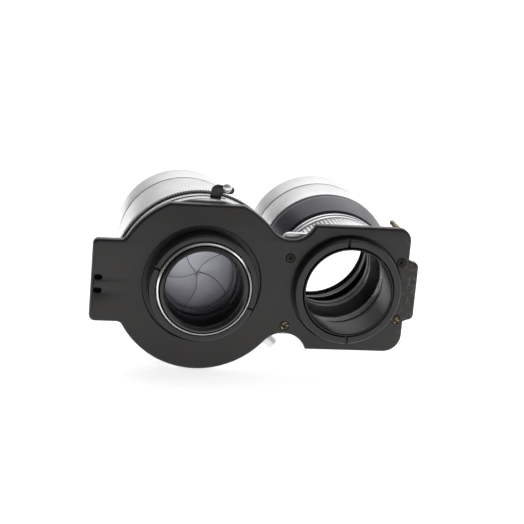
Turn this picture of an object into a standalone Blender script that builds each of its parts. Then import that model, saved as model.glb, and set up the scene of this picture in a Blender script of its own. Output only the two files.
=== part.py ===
"""Interchangeable twin-lens unit: a taking lens with a leaf shutter and a viewing lens on one board.

Frame: X runs along the board from the taking lens to the viewing lens, Y from the board's back
face towards the front of the lenses, Z up.  The origin is on the board's back face, midway
between the two lens axes.  Sizes below are in millimetres and become metres in the meshes.
"""
import math

import bmesh
import bpy
import numpy as np
from mathutils import Matrix, Vector

MM = 0.001
GAP = 0.3                      # clearance between pieces that seat on or pass through each other
SEGMENTS = 32                  # sides of the large turned pieces
SMALL_SEGMENTS = 12            # sides of screws, pins and small round parts

# Taking lens, behind the shutter; the bore drives the shutter and the taking side's radii
REAR_CELL_BORE = 13.3
REAR_CELL_WALL = 1.6
REAR_CELL_LIP = 0.7            # step that the rear glass rests on
REAR_CELL_PROUD = 8.0          # "proud" lengths stand behind the board's back face
REAR_RETAINER_Y = 1.9
REAR_RETAINER_THICKNESS = 0.7
REAR_GLASS_THICKNESS = 3.4
REAR_GLASS_BULGE = 0.6
SLEEVE_WALL = 0.75
SLEEVE_PROUD = 7.0
REAR_CELL_OUTER = REAR_CELL_BORE + REAR_CELL_WALL
SLEEVE_BORE = REAR_CELL_OUTER + GAP
SLEEVE_OUTER = SLEEVE_BORE + SLEEVE_WALL

# Shutter
OPENING_RADIUS = REAR_CELL_BORE - 0.9
LEADING_RADIUS = OPENING_RADIUS + GAP    # arc of a blade's leading edge
BACK_PLATE_THICKNESS = 1.6
BLADE_THICKNESS = 0.2
BLADE_PITCH = 0.5              # step from one blade's level to the next
BLADE_COUNT = 5
BLADE_PIVOT_RADIUS = OPENING_RADIUS + 5.6
BLADE_RIM = OPENING_RADIUS + 1.1         # closed blades cover the opening out to here
BLADE_LAP = 4.0                # degrees that a blade runs under its neighbour
BLADE_OVERRUN = 7.0            # degrees that a leading edge runs past the centre
BLADE_LUG_RADIUS = 1.7
BLADE_HEADING = 65.0           # degrees, direction of the first leading edge at the centre
BLADE_SWING = 2 * math.degrees(math.asin(LEADING_RADIUS / (2 * BLADE_PIVOT_RADIUS)))
PIVOT_PIN_RADIUS = 0.6
PLATE_THICKNESS = 1.0
CASE_NECK_RADIUS = OPENING_RADIUS + BLADE_PIVOT_RADIUS - 3.9   # open blades fit inside
CASE_WALL = 1.2
CASE_RADIUS = CASE_NECK_RADIUS + 2.3
CASE_SHOULDER = 5.7            # length of the wide part of the case
CASE_LENGTH = 19.2
NECK_BORE = CASE_NECK_RADIUS - CASE_WALL
DRIVE_RING_INNER = BLADE_PIVOT_RADIUS + 1.5
DRIVE_RING_OUTER = NECK_BORE - 0.7
DRIVE_RING_THICKNESS = 0.8
SPEED_RING_RADIUS = CASE_RADIUS + 0.7
SPEED_RING_RIM = 2.6           # knurled part
SPEED_RING_STEP = 1.2
SPEED_RING_LENGTH = 6.0
SPEED_RING_BORE = CASE_NECK_RADIUS + GAP
APERTURE_RING_RADIUS = CASE_RADIUS - 0.8
APERTURE_RING_LENGTH = 4.2
FACE_RADIUS = CASE_NECK_RADIUS + 1.1
FACE_BORE = OPENING_RADIUS + 2.0
FACE_THICKNESS = 1.2
FACE_CHAMFER = 0.6

# Viewing lens, behind its band; the tube's bore drives the radii around it
TUBE_BORE = 14.9
TUBE_WALL = 0.55
TUBE_PROUD = 4.2
TUBE_OUTER = TUBE_BORE + TUBE_WALL
MOUNT_PLATE_THICKNESS = 2.0
MOUNT_PLATE_HALF_HEIGHT = TUBE_OUTER + 2.6
MOUNT_PLATE_CORNER = 2.5
MOUNT_PLATE_MARGIN = 2.5       # plate beyond the screws
LOWER_BARREL_BORE = TUBE_BORE + 2.5
LOWER_BARREL_RADIUS = LOWER_BARREL_BORE + 2.7
LOWER_BARREL_FLOOR = 2.0
TUBE_FLANGE_RADIUS = LOWER_BARREL_BORE - 0.4
TUBE_FLANGE_THICKNESS = 1.2
LOCK_RING_RADIUS = LOWER_BARREL_RADIUS + 0.35
LOCK_RING_LENGTH = 2.4
BRIGHT_RING_BORE = LOWER_BARREL_BORE - 1.0
BRIGHT_RING_LENGTH = 5.5
VIEW_CELL_INSET = 3.0          # the viewing rear cell begins this far inside the lower barrel
VIEW_CELL_DEPTH = 7.8          # from the cell's rear end to its throat
VIEW_CELL_THROAT = LOWER_BARREL_BORE - 2.5
VIEW_THROAT_LENGTH = 0.8
VIEW_GLASS_RADIUS = LOWER_BARREL_BORE - 2.0
VIEW_GLASS_THICKNESS = 3.4
VIEW_GLASS_BULGE = 0.8
VIEW_RING_THICKNESS = 0.8
BAND_REAR_RADIUS = LOWER_BARREL_RADIUS + 1.0
BAND_BORE = LOWER_BARREL_BORE + 0.6
BAND_RIM = 3.0                 # straight part at the wide end of the cone

# Lens barrels in front; the filter thread's bore drives their radii
FRONT_BORE = 22.6
FRONT_LENGTH = 71.4            # from the board's back face to the front rims
BARREL_RADIUS = FRONT_BORE + 1.25
BARREL_FLOOR = 2.0
FRONT_RING_LENGTH = 13.4
FRONT_CHAMFER = 0.4
GROOVE_WIDTH = 1.2
SPIGOT_LENGTH = 2.0
SPIGOT_RADIUS = FRONT_BORE - GAP
BARREL_BORE = SPIGOT_RADIUS - 2.0
GLASS_CLEARANCE = 0.3
FRONT_GLASS_RADIUS = FRONT_BORE - 2.5
FRONT_GLASS_THICKNESS = 4.6
FRONT_GLASS_BULGE = 2.2
NAME_RING_THICKNESS = 2.0
INNER_CELL_RADIUS = FRONT_BORE - 6.3     # glass of the taking lens's second cell
INNER_CELL_LIP = 1.5
INNER_CELL_FLOOR = 1.2
INNER_CELL_LENGTH = 9.0
INNER_GLASS_THICKNESS = 5.0
INNER_GLASS_BULGE = 1.6
FRONT_RETAINER_BORE = BARREL_BORE - 2.3
FRONT_RETAINER_THICKNESS = 0.7
FRONT_RETAINER_INSET = 6.5     # from the front end of the viewing barrel

# Slotted rings that clamp the two lenses to the board
TAKING_RING_RADIUS = SLEEVE_OUTER + 2.45
VIEWING_RING_RADIUS = TUBE_OUTER + 2.95
SLOT_RING_CHAMFER = 0.4
TAKING_RING_PROUD = 6.0
VIEWING_RING_PROUD = 3.9
TAKING_SLOTS = (158.0, -21.0)  # degrees, from +X towards +Z
VIEWING_SLOTS = (95.0, -87.0)
SLOT_WIDTH = 1.1
SLOT_DEPTH = 1.6

# Board; its ends follow the two lenses
AXIS_SPACING = max(CASE_RADIUS + LOWER_BARREL_RADIUS, 2 * BARREL_RADIUS) + 1.1
BOARD_THICKNESS = 3.5
DISC_RADIUS = CASE_RADIUS + 1.5          # round end of the board, centred on the taking lens
DISC_FLAT = DISC_RADIUS - 2.7            # height of the flat that clears the cocking lever
PLATE_HALF_HEIGHT = LOWER_BARREL_RADIUS + 2.0   # square end, around the viewing lens
PLATE_REACH = LOWER_BARREL_RADIUS + 1.1  # square end beyond the viewing axis
PLATE_CORNER = 4.5
PLATE_LOWER_CORNER = 6.2
WAIST_RADIUS = 8.6             # concave notch between the two ends
WAIST_OFFSET = 4.6             # notch centre from the board's middle, towards the viewing lens
FOOT_TAB_REACH = DISC_RADIUS + 7.0       # tab beyond the taking axis
FOOT_TAB_HALF = 14.3
FOOT_TAB_FILLET = 2.5
LATCH_TAB_REACH = 3.5          # tab beyond the square end
LATCH_TAB_HALF = 10.4
LATCH_TAB_SHOULDER = 0.6
TAB_CORNER = 2.0
EDGE_ROUND = 0.8
TAKING_SEAT_RADIUS = TAKING_RING_RADIUS + 1.7   # shallow seat around each slotted ring
VIEWING_SEAT_RADIUS = VIEWING_RING_RADIUS + 0.6
SEAT_DEPTH = 0.8
DIMPLE_LENGTH = 3.2            # two short sockets near the end of the foot tab
DIMPLE_WIDTH = 1.4
DIMPLE_DEPTH = 1.0
DIMPLE_INSET = 2.3
DIMPLE_HEIGHTS = (1.2, -3.4)
TAKING_X = -AXIS_SPACING / 2
VIEWING_X = AXIS_SPACING / 2

# Board screws, each placed by (x, z) from the viewing axis
SCREW_HEAD_RADIUS = 1.5
SCREW_SHANK_RADIUS = 0.85
SCREW_HEAD_DEPTH = 1.1
SCREW_PROUD = 0.1
SCREW_PLACES = ((-VIEWING_SEAT_RADIUS - 1.4, 0.542 * VIEWING_SEAT_RADIUS),
                (-VIEWING_SEAT_RADIUS - 1.4, -0.721 * VIEWING_SEAT_RADIUS),
                (VIEWING_SEAT_RADIUS - 0.6, 0.537 * VIEWING_SEAT_RADIUS),
                (VIEWING_SEAT_RADIUS - 0.6, -0.537 * VIEWING_SEAT_RADIUS))

# Levers and fittings on the shutter; angles are from +X towards +Z about the taking axis
LEVER_THICKNESS = 1.2
COCKING_ANGLE = 83.0
COCKING_WIDTH = 3.8
COCKING_REACH = DISC_RADIUS + 2.9
COCKING_TRAVEL = 35.0
COCKING_HUB_WIDTH = 3.0
COCKING_HOOK = 5.4             # how far the end is bent aside
COCKING_TIP_RADIUS = 1.3
COCKING_BEND_RADIUS = 2.4
COCKING_KNOB_RADIUS = 1.6
RELEASE_ANGLE = -112.0
RELEASE_WIDTH = 3.0
RELEASE_REACH = DISC_RADIUS + 1.7
RELEASE_CORNER = 1.0
RELEASE_PIVOT_RADIUS = CASE_RADIUS - 5.8
RELEASE_TRAVEL = 14.0
RELEASE_SCREW_RADIUS = 0.7
RELEASE_HEAD_THICKNESS = 0.6
WINDOW_MARGIN = 7.0            # degrees that a lever's window in the case runs past its travel
APERTURE_LEVER_ANGLE = 205.0
APERTURE_LEVER_REACH = SPEED_RING_RADIUS + 2.0
APERTURE_LEVER_WIDTH = 4.0
APERTURE_LEVER_INSET = 1.0
SOCKET_ANGLE = -40.0
SOCKET_REACH = DISC_RADIUS + 5.7
SOCKET_RADIUS = 2.0
SOCKET_COLLAR = 0.6
SOCKET_BORE = 1.2
SOCKET_DEPTH = 3.0
SYNC_ANGLE = -72.0
SYNC_ARM = 5.5
SYNC_HUB_RADIUS = 1.5
SYNC_TIP_RADIUS = 0.8
SYNC_THICKNESS = 1.0

# Small post on the front of the board, near the square end's upper corner
POST_PLACE = (PLATE_REACH - 2.8, PLATE_HALF_HEIGHT - 2.3)
POST_RADIUS = 0.9
POST_FOOT = (1.5, 1.5)         # radius and height
POST_TIP_CHAMFER = 0.4
POST_END = 19.0

# Places along Y that follow from the sizes above
REAR_GLASS_Y = REAR_RETAINER_Y + REAR_RETAINER_THICKNESS + GAP
REAR_GLASS_SEAT = REAR_GLASS_Y + REAR_GLASS_THICKNESS + GAP
BACK_PLATE_Y = BOARD_THICKNESS + GAP
CASE_Y = BACK_PLATE_Y + BACK_PLATE_THICKNESS + GAP
NECK_Y = CASE_Y + CASE_SHOULDER
CASE_END = BACK_PLATE_Y + CASE_LENGTH
LEVER_Y = CASE_Y + 1.3
BLADE_PLATE_Y = NECK_Y + 0.9
BLADES_Y = BLADE_PLATE_Y + PLATE_THICKNESS + GAP
BLADE_STACK = (BLADE_COUNT - 1) * BLADE_PITCH + BLADE_THICKNESS
DRIVE_RING_Y = BLADES_Y + BLADE_STACK + GAP
IRIS_BLADES_Y = DRIVE_RING_Y + DRIVE_RING_THICKNESS + GAP
IRIS_RING_Y = IRIS_BLADES_Y + BLADE_STACK + GAP
IRIS_PLATE_Y = IRIS_RING_Y + DRIVE_RING_THICKNESS + GAP
SPEED_RING_Y = NECK_Y + GAP
APERTURE_RING_Y = SPEED_RING_Y + SPEED_RING_LENGTH + GAP
FACE_Y = max(CASE_END, APERTURE_RING_Y + APERTURE_RING_LENGTH) + GAP
BARREL_Y = FACE_Y + FACE_THICKNESS + GAP
FRONT_RING_Y = FRONT_LENGTH - FRONT_RING_LENGTH
BARREL_END = FRONT_RING_Y - GROOVE_WIDTH
FRONT_GLASS_Y = BARREL_END + SPIGOT_LENGTH + GAP
NAME_RING_Y = FRONT_GLASS_Y + FRONT_GLASS_THICKNESS - FRONT_GLASS_BULGE + GAP
MOUNT_PLATE_Y = BOARD_THICKNESS + GAP
LOWER_BARREL_Y = MOUNT_PLATE_Y + MOUNT_PLATE_THICKNESS + GAP
LOWER_BARREL_END = 0.3305 * FRONT_LENGTH
VIEW_CELL_Y = LOWER_BARREL_END - VIEW_CELL_INSET + GAP
BAND_REAR = LOWER_BARREL_END + LOCK_RING_LENGTH + 1.0
BAND_FRONT = 0.57 * FRONT_LENGTH
INNER_CELL_Y = BARREL_Y + 0.43 * (BARREL_END - BARREL_Y)

BLACK_PAINT = ("black_paint", (0.030, 0.029, 0.027), 0.42, 0.0)
BLACK_METAL = ("black_anodised", (0.020, 0.020, 0.021), 0.35, 0.6)
SATIN_SILVER = ("satin_silver", (0.78, 0.78, 0.79), 0.32, 1.0)
BARE_BRASS = ("bare_brass", (0.60, 0.48, 0.24), 0.35, 1.0)
BLADE_STEEL = ("blade_steel", (0.45, 0.46, 0.48), 0.30, 1.0)
CHROME = ("bright_chrome", (0.85, 0.85, 0.86), 0.10, 1.0)
LENS_GLASS = ("lens_glass", (0.82, 0.88, 0.90), 0.03, 0.0)


def clear_scene():
    """Remove every object, so that the model starts from nothing."""
    for item in list(bpy.data.objects):
        bpy.data.objects.remove(item, do_unlink=True)


def make_material(piece, finish):
    """Give the piece its own material: (name, colour, roughness, metallic)."""
    label, colour, roughness, metallic = finish
    material = bpy.data.materials.new(piece.name + "_" + label)
    material.use_nodes = True
    shader = material.node_tree.nodes["Principled BSDF"]
    shader.inputs["Base Color"].default_value = (*colour, 1.0)
    shader.inputs["Roughness"].default_value = roughness
    shader.inputs["Metallic"].default_value = metallic
    piece.data.materials.append(material)


def finish_mesh(name, bm, finish, origin=(0.0, 0.0, 0.0)):
    """Turn a bmesh in millimetres about the given origin into a finished object in metres."""
    bmesh.ops.recalc_face_normals(bm, faces=bm.faces)
    bmesh.ops.scale(bm, vec=(MM, MM, MM), verts=bm.verts)
    mesh = bpy.data.meshes.new(name)
    bm.to_mesh(mesh)
    bm.free()
    mesh.shade_smooth()
    mesh.set_sharp_from_angle(angle=math.radians(35))
    piece = bpy.data.objects.new(name, mesh)
    piece.location = Vector(origin) * MM
    bpy.context.scene.collection.objects.link(piece)
    make_material(piece, finish)
    return piece


def add_turned(bm, profile, segments, centre=(0.0, 0.0)):
    """Turn a closed profile of (radius, y) about a Y axis at centre (x, z); radius 0 is a pole."""
    angles = np.linspace(0.0, 2 * math.pi, segments, endpoint=False)
    rings = []
    for radius, y in profile:
        if radius == 0:
            rings.append([bm.verts.new((centre[0], y, centre[1]))])
            continue
        points = [(centre[0] + radius * math.cos(a), y, centre[1] + radius * math.sin(a))
                  for a in angles]
        rings.append([bm.verts.new(p) for p in points])
    for first, second in zip(rings, rings[1:] + rings[:1]):
        if len(first) == 1 and len(second) == 1:
            continue
        for i in range(segments):
            j = (i + 1) % segments
            corners = [first[i % len(first)], first[j % len(first)],
                       second[j % len(second)], second[i % len(second)]]
            bm.faces.new(list(dict.fromkeys(corners)))


def turned(name, x, profile, finish, segments=SEGMENTS):
    """One turned piece whose axis runs along Y at (x, 0)."""
    bm = bmesh.new()
    add_turned(bm, profile, segments)
    return finish_mesh(name, bm, finish, (x, 0.0, 0.0))


def tube_profile(inner, outer, start, end):
    """A plain tube's profile."""
    return [(inner, start), (outer, start), (outer, end), (inner, end)]


def circle(radius, segments, centre=(0.0, 0.0)):
    """Points of a circle in the XZ plane."""
    return arc(centre, radius, 0.0, 360.0, segments + 1)[:-1]


def arc(centre, radius, start, end, count):
    """Points (x, z) of an arc between two angles in degrees, both ends included."""
    angles = np.radians(np.linspace(start, end, count))
    return [(centre[0] + radius * math.cos(a), centre[1] + radius * math.sin(a)) for a in angles]


def rotated(points, degrees, about=(0.0, 0.0)):
    """Points turned in the XZ plane, from +X towards +Z."""
    turn = Matrix.Rotation(math.radians(degrees), 2)
    base = Vector(about)
    return [tuple(base + turn @ (Vector(p) - base)) for p in points]


def add_plate(bm, outline, start, end, holes=()):
    """Add a flat plate between two places along Y, from an outline and round holes (x, z)."""
    edges = []
    for loop in (outline, *holes):
        corners = [bm.verts.new((p[0], start, p[1])) for p in loop]
        edges += [bm.edges.new(pair) for pair in zip(corners, corners[1:] + corners[:1])]
    filled = bmesh.ops.triangle_fill(bm, use_beauty=True, use_dissolve=False, edges=edges)
    faces = [item for item in filled["geom"] if isinstance(item, bmesh.types.BMFace)]
    grown = bmesh.ops.extrude_face_region(bm, geom=faces, use_keep_orig=True)
    moved = [item for item in grown["geom"] if isinstance(item, bmesh.types.BMVert)]
    bmesh.ops.translate(bm, vec=(0.0, end - start, 0.0), verts=moved)


def plate(name, outline, start, end, finish, origin=(0.0, 0.0), holes=()):
    """One flat plate as an object; outline and holes are about the origin (x, z)."""
    bm = bmesh.new()
    add_plate(bm, outline, start, end, holes)
    return finish_mesh(name, bm, finish, (origin[0], 0.0, origin[1]))


def cutter(name, bm, origin=(0.0, 0.0, 0.0)):
    """A shape that only cuts other pieces."""
    shape = finish_mesh(name, bm, BLACK_METAL, origin)
    shape.hide_render = True
    shape.display_type = "WIRE"
    return shape


def cut(piece, shape, operation="DIFFERENCE"):
    """Cut a shape out of a piece, or join it on."""
    modifier = piece.modifiers.new("cut_" + shape.name, "BOOLEAN")
    modifier.operation = operation
    modifier.solver = "EXACT"
    modifier.object = shape


def add_box(bm, low, high, turn=0.0):
    """Add a box between two corners, turned in the XZ plane about the origin."""
    size = Vector(high) - Vector(low)
    middle = (Vector(high) + Vector(low)) / 2
    place = Matrix.Rotation(-math.radians(turn), 4, "Y") @ Matrix.Translation(middle)
    bmesh.ops.create_cube(bm, size=1.0, matrix=place @ Matrix.Diagonal((*size, 1.0)))


def polar(radius, degrees):
    """A point (x, z) from its radius and its angle from +X towards +Z."""
    return (radius * math.cos(math.radians(degrees)), radius * math.sin(math.radians(degrees)))


def board_half(flat):
    """Upper half of the board's outline, from the foot tab's end to the latch tab's end."""
    end_x = TAKING_X - FOOT_TAB_REACH
    points = arc((end_x + TAB_CORNER, FOOT_TAB_HALF - TAB_CORNER), TAB_CORNER, 180, 90, 4)
    fillet_z = FOOT_TAB_HALF + FOOT_TAB_FILLET
    fillet_dx = math.sqrt((DISC_RADIUS + FOOT_TAB_FILLET) ** 2 - fillet_z ** 2)
    fillet_angle = math.degrees(math.atan2(fillet_z, fillet_dx))
    points += arc((TAKING_X - fillet_dx, fillet_z), FOOT_TAB_FILLET, -90, -fillet_angle, 4)
    waist_dx = WAIST_OFFSET - TAKING_X
    waist_z = math.sqrt((DISC_RADIUS + WAIST_RADIUS) ** 2 - waist_dx ** 2)
    waist_angle = math.degrees(math.atan2(waist_z, waist_dx))
    disc_start = 180 - fillet_angle
    if flat:
        flat_angle = math.degrees(math.asin(DISC_FLAT / DISC_RADIUS))
        points += arc((TAKING_X, 0), DISC_RADIUS, disc_start, 180 - flat_angle, 7)[1:]
        points += arc((TAKING_X, 0), DISC_RADIUS, flat_angle, waist_angle, 5)
    else:
        points += arc((TAKING_X, 0), DISC_RADIUS, disc_start, waist_angle, 17)[1:]
    edge_angle = math.degrees(math.asin((waist_z - PLATE_HALF_HEIGHT) / WAIST_RADIUS))
    points += arc((WAIST_OFFSET, waist_z), WAIST_RADIUS, 180 + waist_angle, 360 - edge_angle, 9)[1:]
    plate_end = VIEWING_X + PLATE_REACH
    radius = PLATE_CORNER if flat else PLATE_LOWER_CORNER
    points += arc((plate_end - radius, PLATE_HALF_HEIGHT - radius), radius, 90, 0, 6)
    points.append((plate_end, LATCH_TAB_HALF + LATCH_TAB_SHOULDER))
    tab = (plate_end + LATCH_TAB_REACH - TAB_CORNER, LATCH_TAB_HALF - TAB_CORNER)
    points += arc(tab, TAB_CORNER, 90, 0, 4)
    return points


def screw_centres():
    """Centres (x, z) of the four board screws."""
    return [(VIEWING_X + dx, dz) for dx, dz in SCREW_PLACES]


def build_board():
    """Board plate with two bores, their seats, the screw holes and the two foot sockets."""
    lower = [(x, -z) for x, z in reversed(board_half(flat=False))]
    board = plate("lens_board", board_half(flat=True) + lower, 0.0, BOARD_THICKNESS, BLACK_PAINT)
    rounding = board.modifiers.new("edge_round", "BEVEL")
    rounding.width = EDGE_ROUND * MM
    rounding.segments = 1
    rounding.limit_method = "ANGLE"
    rounding.angle_limit = math.radians(60)
    bm = bmesh.new()
    beyond = 2.0
    for x, bore, seat in ((TAKING_X, SLEEVE_OUTER + GAP, TAKING_SEAT_RADIUS),
                          (VIEWING_X, TUBE_OUTER + GAP, VIEWING_SEAT_RADIUS)):
        profile = [(0, -beyond), (seat, -beyond), (seat, SEAT_DEPTH),
                   (bore, SEAT_DEPTH), (bore, BOARD_THICKNESS + beyond),
                   (0, BOARD_THICKNESS + beyond)]
        add_turned(bm, profile, SEGMENTS, (x, 0.0))
    head = SCREW_HEAD_RADIUS + GAP
    shank = SCREW_SHANK_RADIUS + GAP
    for centre in screw_centres():
        profile = [(0, -beyond), (head, -beyond), (head, SCREW_HEAD_DEPTH + GAP),
                   (shank, SCREW_HEAD_DEPTH + GAP), (shank, BOARD_THICKNESS + beyond),
                   (0, BOARD_THICKNESS + beyond)]
        add_turned(bm, profile, SMALL_SEGMENTS, centre)
    middle = TAKING_X - FOOT_TAB_REACH + DIMPLE_INSET
    half = (DIMPLE_LENGTH - DIMPLE_WIDTH) / 2
    for z in DIMPLE_HEIGHTS:
        oval = arc((middle + half, z), DIMPLE_WIDTH / 2, -90, 90, 5)
        oval += arc((middle - half, z), DIMPLE_WIDTH / 2, 90, 270, 5)
        add_plate(bm, oval, -beyond, DIMPLE_DEPTH)
    cut(board, cutter("board_cutter", bm))


def build_screws():
    """Four board screws with flat round heads."""
    end = LOWER_BARREL_Y - 2 * GAP
    profile = [(0, -SCREW_PROUD), (SCREW_HEAD_RADIUS, -SCREW_PROUD),
               (SCREW_HEAD_RADIUS, SCREW_HEAD_DEPTH), (SCREW_SHANK_RADIUS, SCREW_HEAD_DEPTH),
               (SCREW_SHANK_RADIUS, end), (0, end)]
    for number, (x, z) in enumerate(screw_centres(), start=1):
        bm = bmesh.new()
        add_turned(bm, profile, SMALL_SEGMENTS)
        finish_mesh("board_screw_%d" % number, bm, BARE_BRASS, (x, 0.0, z))


def build_slotted_ring(name, x, bore, radius, proud, slots):
    """Clamping ring with driver slots across its back face, at angles in degrees."""
    seat = SEAT_DEPTH - GAP
    profile = [(bore, -proud), (radius - SLOT_RING_CHAMFER, -proud),
               (radius, -proud + SLOT_RING_CHAMFER), (radius, seat), (bore, seat)]
    ring = turned(name, x, profile, BLACK_METAL)
    bm = bmesh.new()
    for turn in slots:
        low = (bore - 1.0, -proud - 1.0, -SLOT_WIDTH / 2)
        high = (radius + 1.0, -proud + SLOT_DEPTH, SLOT_WIDTH / 2)
        add_box(bm, low, high, turn)
    cut(ring, cutter(name + "_cutter", bm, (x, 0.0, 0.0)))


def build_taking_rear():
    """Rear cell of the taking lens, its glass and its retaining ring."""
    lip = REAR_CELL_BORE - REAR_CELL_LIP
    glass = REAR_CELL_BORE - GLASS_CLEARANCE
    end = BLADE_PLATE_Y - GAP
    bevel = (REAR_CELL_BORE + REAR_CELL_OUTER) / 2 - GAP
    turned("taking_rear_cell", TAKING_X,
           [(REAR_CELL_BORE, -REAR_CELL_PROUD), (bevel, -REAR_CELL_PROUD),
            (REAR_CELL_OUTER, -SLEEVE_PROUD - GAP), (REAR_CELL_OUTER, end), (lip, end),
            (lip, REAR_GLASS_SEAT), (REAR_CELL_BORE, REAR_GLASS_SEAT)], BLACK_METAL)
    turned("taking_rear_retainer", TAKING_X,
           tube_profile(lip + GAP / 2, glass, REAR_RETAINER_Y,
                        REAR_RETAINER_Y + REAR_RETAINER_THICKNESS), BLACK_METAL)
    turned("taking_rear_glass", TAKING_X,
           lens_profile(glass, REAR_GLASS_Y, REAR_GLASS_THICKNESS, REAR_GLASS_BULGE,
                        REAR_GLASS_BULGE), LENS_GLASS)


def lens_profile(radius, start, thickness, rear_bulge, front_bulge, steps=2):
    """Profile of a glass whose two faces bulge outwards; thickness is at the centre."""
    def face(bulge, pole, sign):
        """One face from the axis to the rim, as a parabola."""
        return [(radius * i / steps, pole + sign * bulge * (i / steps) ** 2)
                for i in range(steps + 1)]
    rear = face(rear_bulge, start, 1)
    front = face(front_bulge, start + thickness, -1)
    return rear + front[::-1]


def build_shutter_shell():
    """Back plate with its threaded sleeve, the stepped case and the face ring."""
    plate_end = BACK_PLATE_Y + BACK_PLATE_THICKNESS
    turned("shutter_back_plate", TAKING_X,
           [(SLEEVE_BORE, -SLEEVE_PROUD), (SLEEVE_OUTER, -SLEEVE_PROUD),
            (SLEEVE_OUTER, BACK_PLATE_Y), (CASE_RADIUS, BACK_PLATE_Y), (CASE_RADIUS, plate_end),
            (SLEEVE_BORE, plate_end)], SATIN_SILVER)
    bore = CASE_RADIUS - CASE_WALL
    case = turned("shutter_case", TAKING_X,
                  [(bore, CASE_Y), (CASE_RADIUS, CASE_Y), (CASE_RADIUS, NECK_Y),
                   (CASE_NECK_RADIUS, NECK_Y), (CASE_NECK_RADIUS, CASE_END),
                   (NECK_BORE, CASE_END), (NECK_BORE, NECK_Y - CASE_WALL),
                   (bore, NECK_Y - CASE_WALL)], SATIN_SILVER)
    bm = bmesh.new()
    low, high = LEVER_Y - GAP, LEVER_Y + LEVER_THICKNESS + GAP
    for angle, travel in ((COCKING_ANGLE, COCKING_TRAVEL), (RELEASE_ANGLE, RELEASE_TRAVEL)):
        start, end = angle - WINDOW_MARGIN, angle + travel + WINDOW_MARGIN
        window = arc((0, 0), CASE_RADIUS + CASE_WALL, start, end, 7)
        window += arc((0, 0), bore - CASE_WALL, end, start, 7)
        add_plate(bm, window, low, high)
    cut(case, cutter("case_cutter", bm, (TAKING_X, 0.0, 0.0)))
    turned("shutter_face", TAKING_X,
           [(FACE_BORE, FACE_Y), (FACE_RADIUS, FACE_Y),
            (FACE_RADIUS - FACE_CHAMFER, FACE_Y + FACE_THICKNESS),
            (FACE_BORE, FACE_Y + FACE_THICKNESS)], SATIN_SILVER)


def blade_pivot():
    """Pivot (x, z) of a blade whose leading edge leaves the centre along +X."""
    return polar(BLADE_PIVOT_RADIUS, -BLADE_SWING / 2)


def blade_outline():
    """A closed blade: its leading edge is an arc through the centre that fits the open bore."""
    centre = polar(LEADING_RADIUS, -90)
    reach = 2 * math.degrees(math.asin(BLADE_RIM / (2 * LEADING_RADIUS)))
    leading = arc(centre, LEADING_RADIUS, 90 + BLADE_OVERRUN, 90 - reach, 9)
    rim_start = -reach / 2
    step = 360 / BLADE_COUNT + BLADE_LAP
    trailing = rotated(arc(centre, LEADING_RADIUS, 90 - reach, 90 - BLADE_LAP, 8), step)
    pivot = blade_pivot()
    lug_angle = -BLADE_SWING / 2
    lug = arc(pivot, BLADE_LUG_RADIUS, lug_angle - 95, lug_angle + 95, 7)
    rim = arc((0, 0), BLADE_RIM, rim_start + step / 3, rim_start + step, 6)[:-1]
    return leading + lug + rim + trailing


def build_blades(label, first_y):
    """The blades of one set, each on its own level and its own pivot."""
    outline = blade_outline()
    pivot = blade_pivot()
    hole = circle(PIVOT_PIN_RADIUS + GAP, 10, pivot)
    for index in range(BLADE_COUNT):
        turn = BLADE_HEADING + 360 / BLADE_COUNT * index
        shift = rotated([pivot], turn)[0]
        shape = [(x - shift[0], z - shift[1]) for x, z in rotated(outline, turn)]
        eye = [(x - shift[0], z - shift[1]) for x, z in rotated(hole, turn)]
        low = first_y + index * BLADE_PITCH
        plate("%s_%d" % (label, index + 1), shape, low, low + BLADE_THICKNESS, BLADE_STEEL,
              (TAKING_X + shift[0], shift[1]), (eye,))


def open_blades(label):
    """Turn one set of blades to their open place, each about its pivot."""
    for index in range(BLADE_COUNT):
        blade = bpy.data.objects["%s_%d" % (label, index + 1)]
        blade.data.transform(Matrix.Rotation(math.radians(BLADE_SWING), 4, "Y"))


def build_blade_plate(name, start, end, pin_end):
    """Ring plate inside the case with one pivot pin for each blade."""
    outer = NECK_BORE - GAP
    ring = turned(name, TAKING_X, tube_profile(OPENING_RADIUS, outer, start, end), BLACK_METAL)
    bm = bmesh.new()
    middle = (start + end) / 2
    for index in range(BLADE_COUNT):
        turn = BLADE_HEADING + 360 / BLADE_COUNT * index
        centre = rotated([blade_pivot()], turn)[0]
        low, high = sorted((middle, pin_end))
        profile = [(0, low), (PIVOT_PIN_RADIUS, low), (PIVOT_PIN_RADIUS, high), (0, high)]
        add_turned(bm, profile, 8, centre)
    cut(ring, cutter(name + "_pins", bm, (TAKING_X, 0.0, 0.0)), "UNION")


def build_shutter_works():
    """Blade plate, shutter blades, drive ring, iris blades, iris ring and iris plate."""
    build_blade_plate("shutter_blade_plate", BLADE_PLATE_Y, BLADE_PLATE_Y + PLATE_THICKNESS,
                      BLADES_Y + BLADE_STACK + GAP / 2)
    build_blades("shutter_blade", BLADES_Y)
    turned("blade_drive_ring", TAKING_X,
           tube_profile(DRIVE_RING_INNER, DRIVE_RING_OUTER, DRIVE_RING_Y,
                        DRIVE_RING_Y + DRIVE_RING_THICKNESS), BLADE_STEEL)
    build_blades("iris_blade", IRIS_BLADES_Y)
    open_blades("iris_blade")
    turned("iris_ring", TAKING_X,
           tube_profile(DRIVE_RING_INNER, DRIVE_RING_OUTER, IRIS_RING_Y,
                        IRIS_RING_Y + DRIVE_RING_THICKNESS), BLACK_METAL)
    build_blade_plate("iris_plate", IRIS_PLATE_Y, IRIS_PLATE_Y + PLATE_THICKNESS,
                      IRIS_BLADES_Y - GAP / 2)


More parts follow.
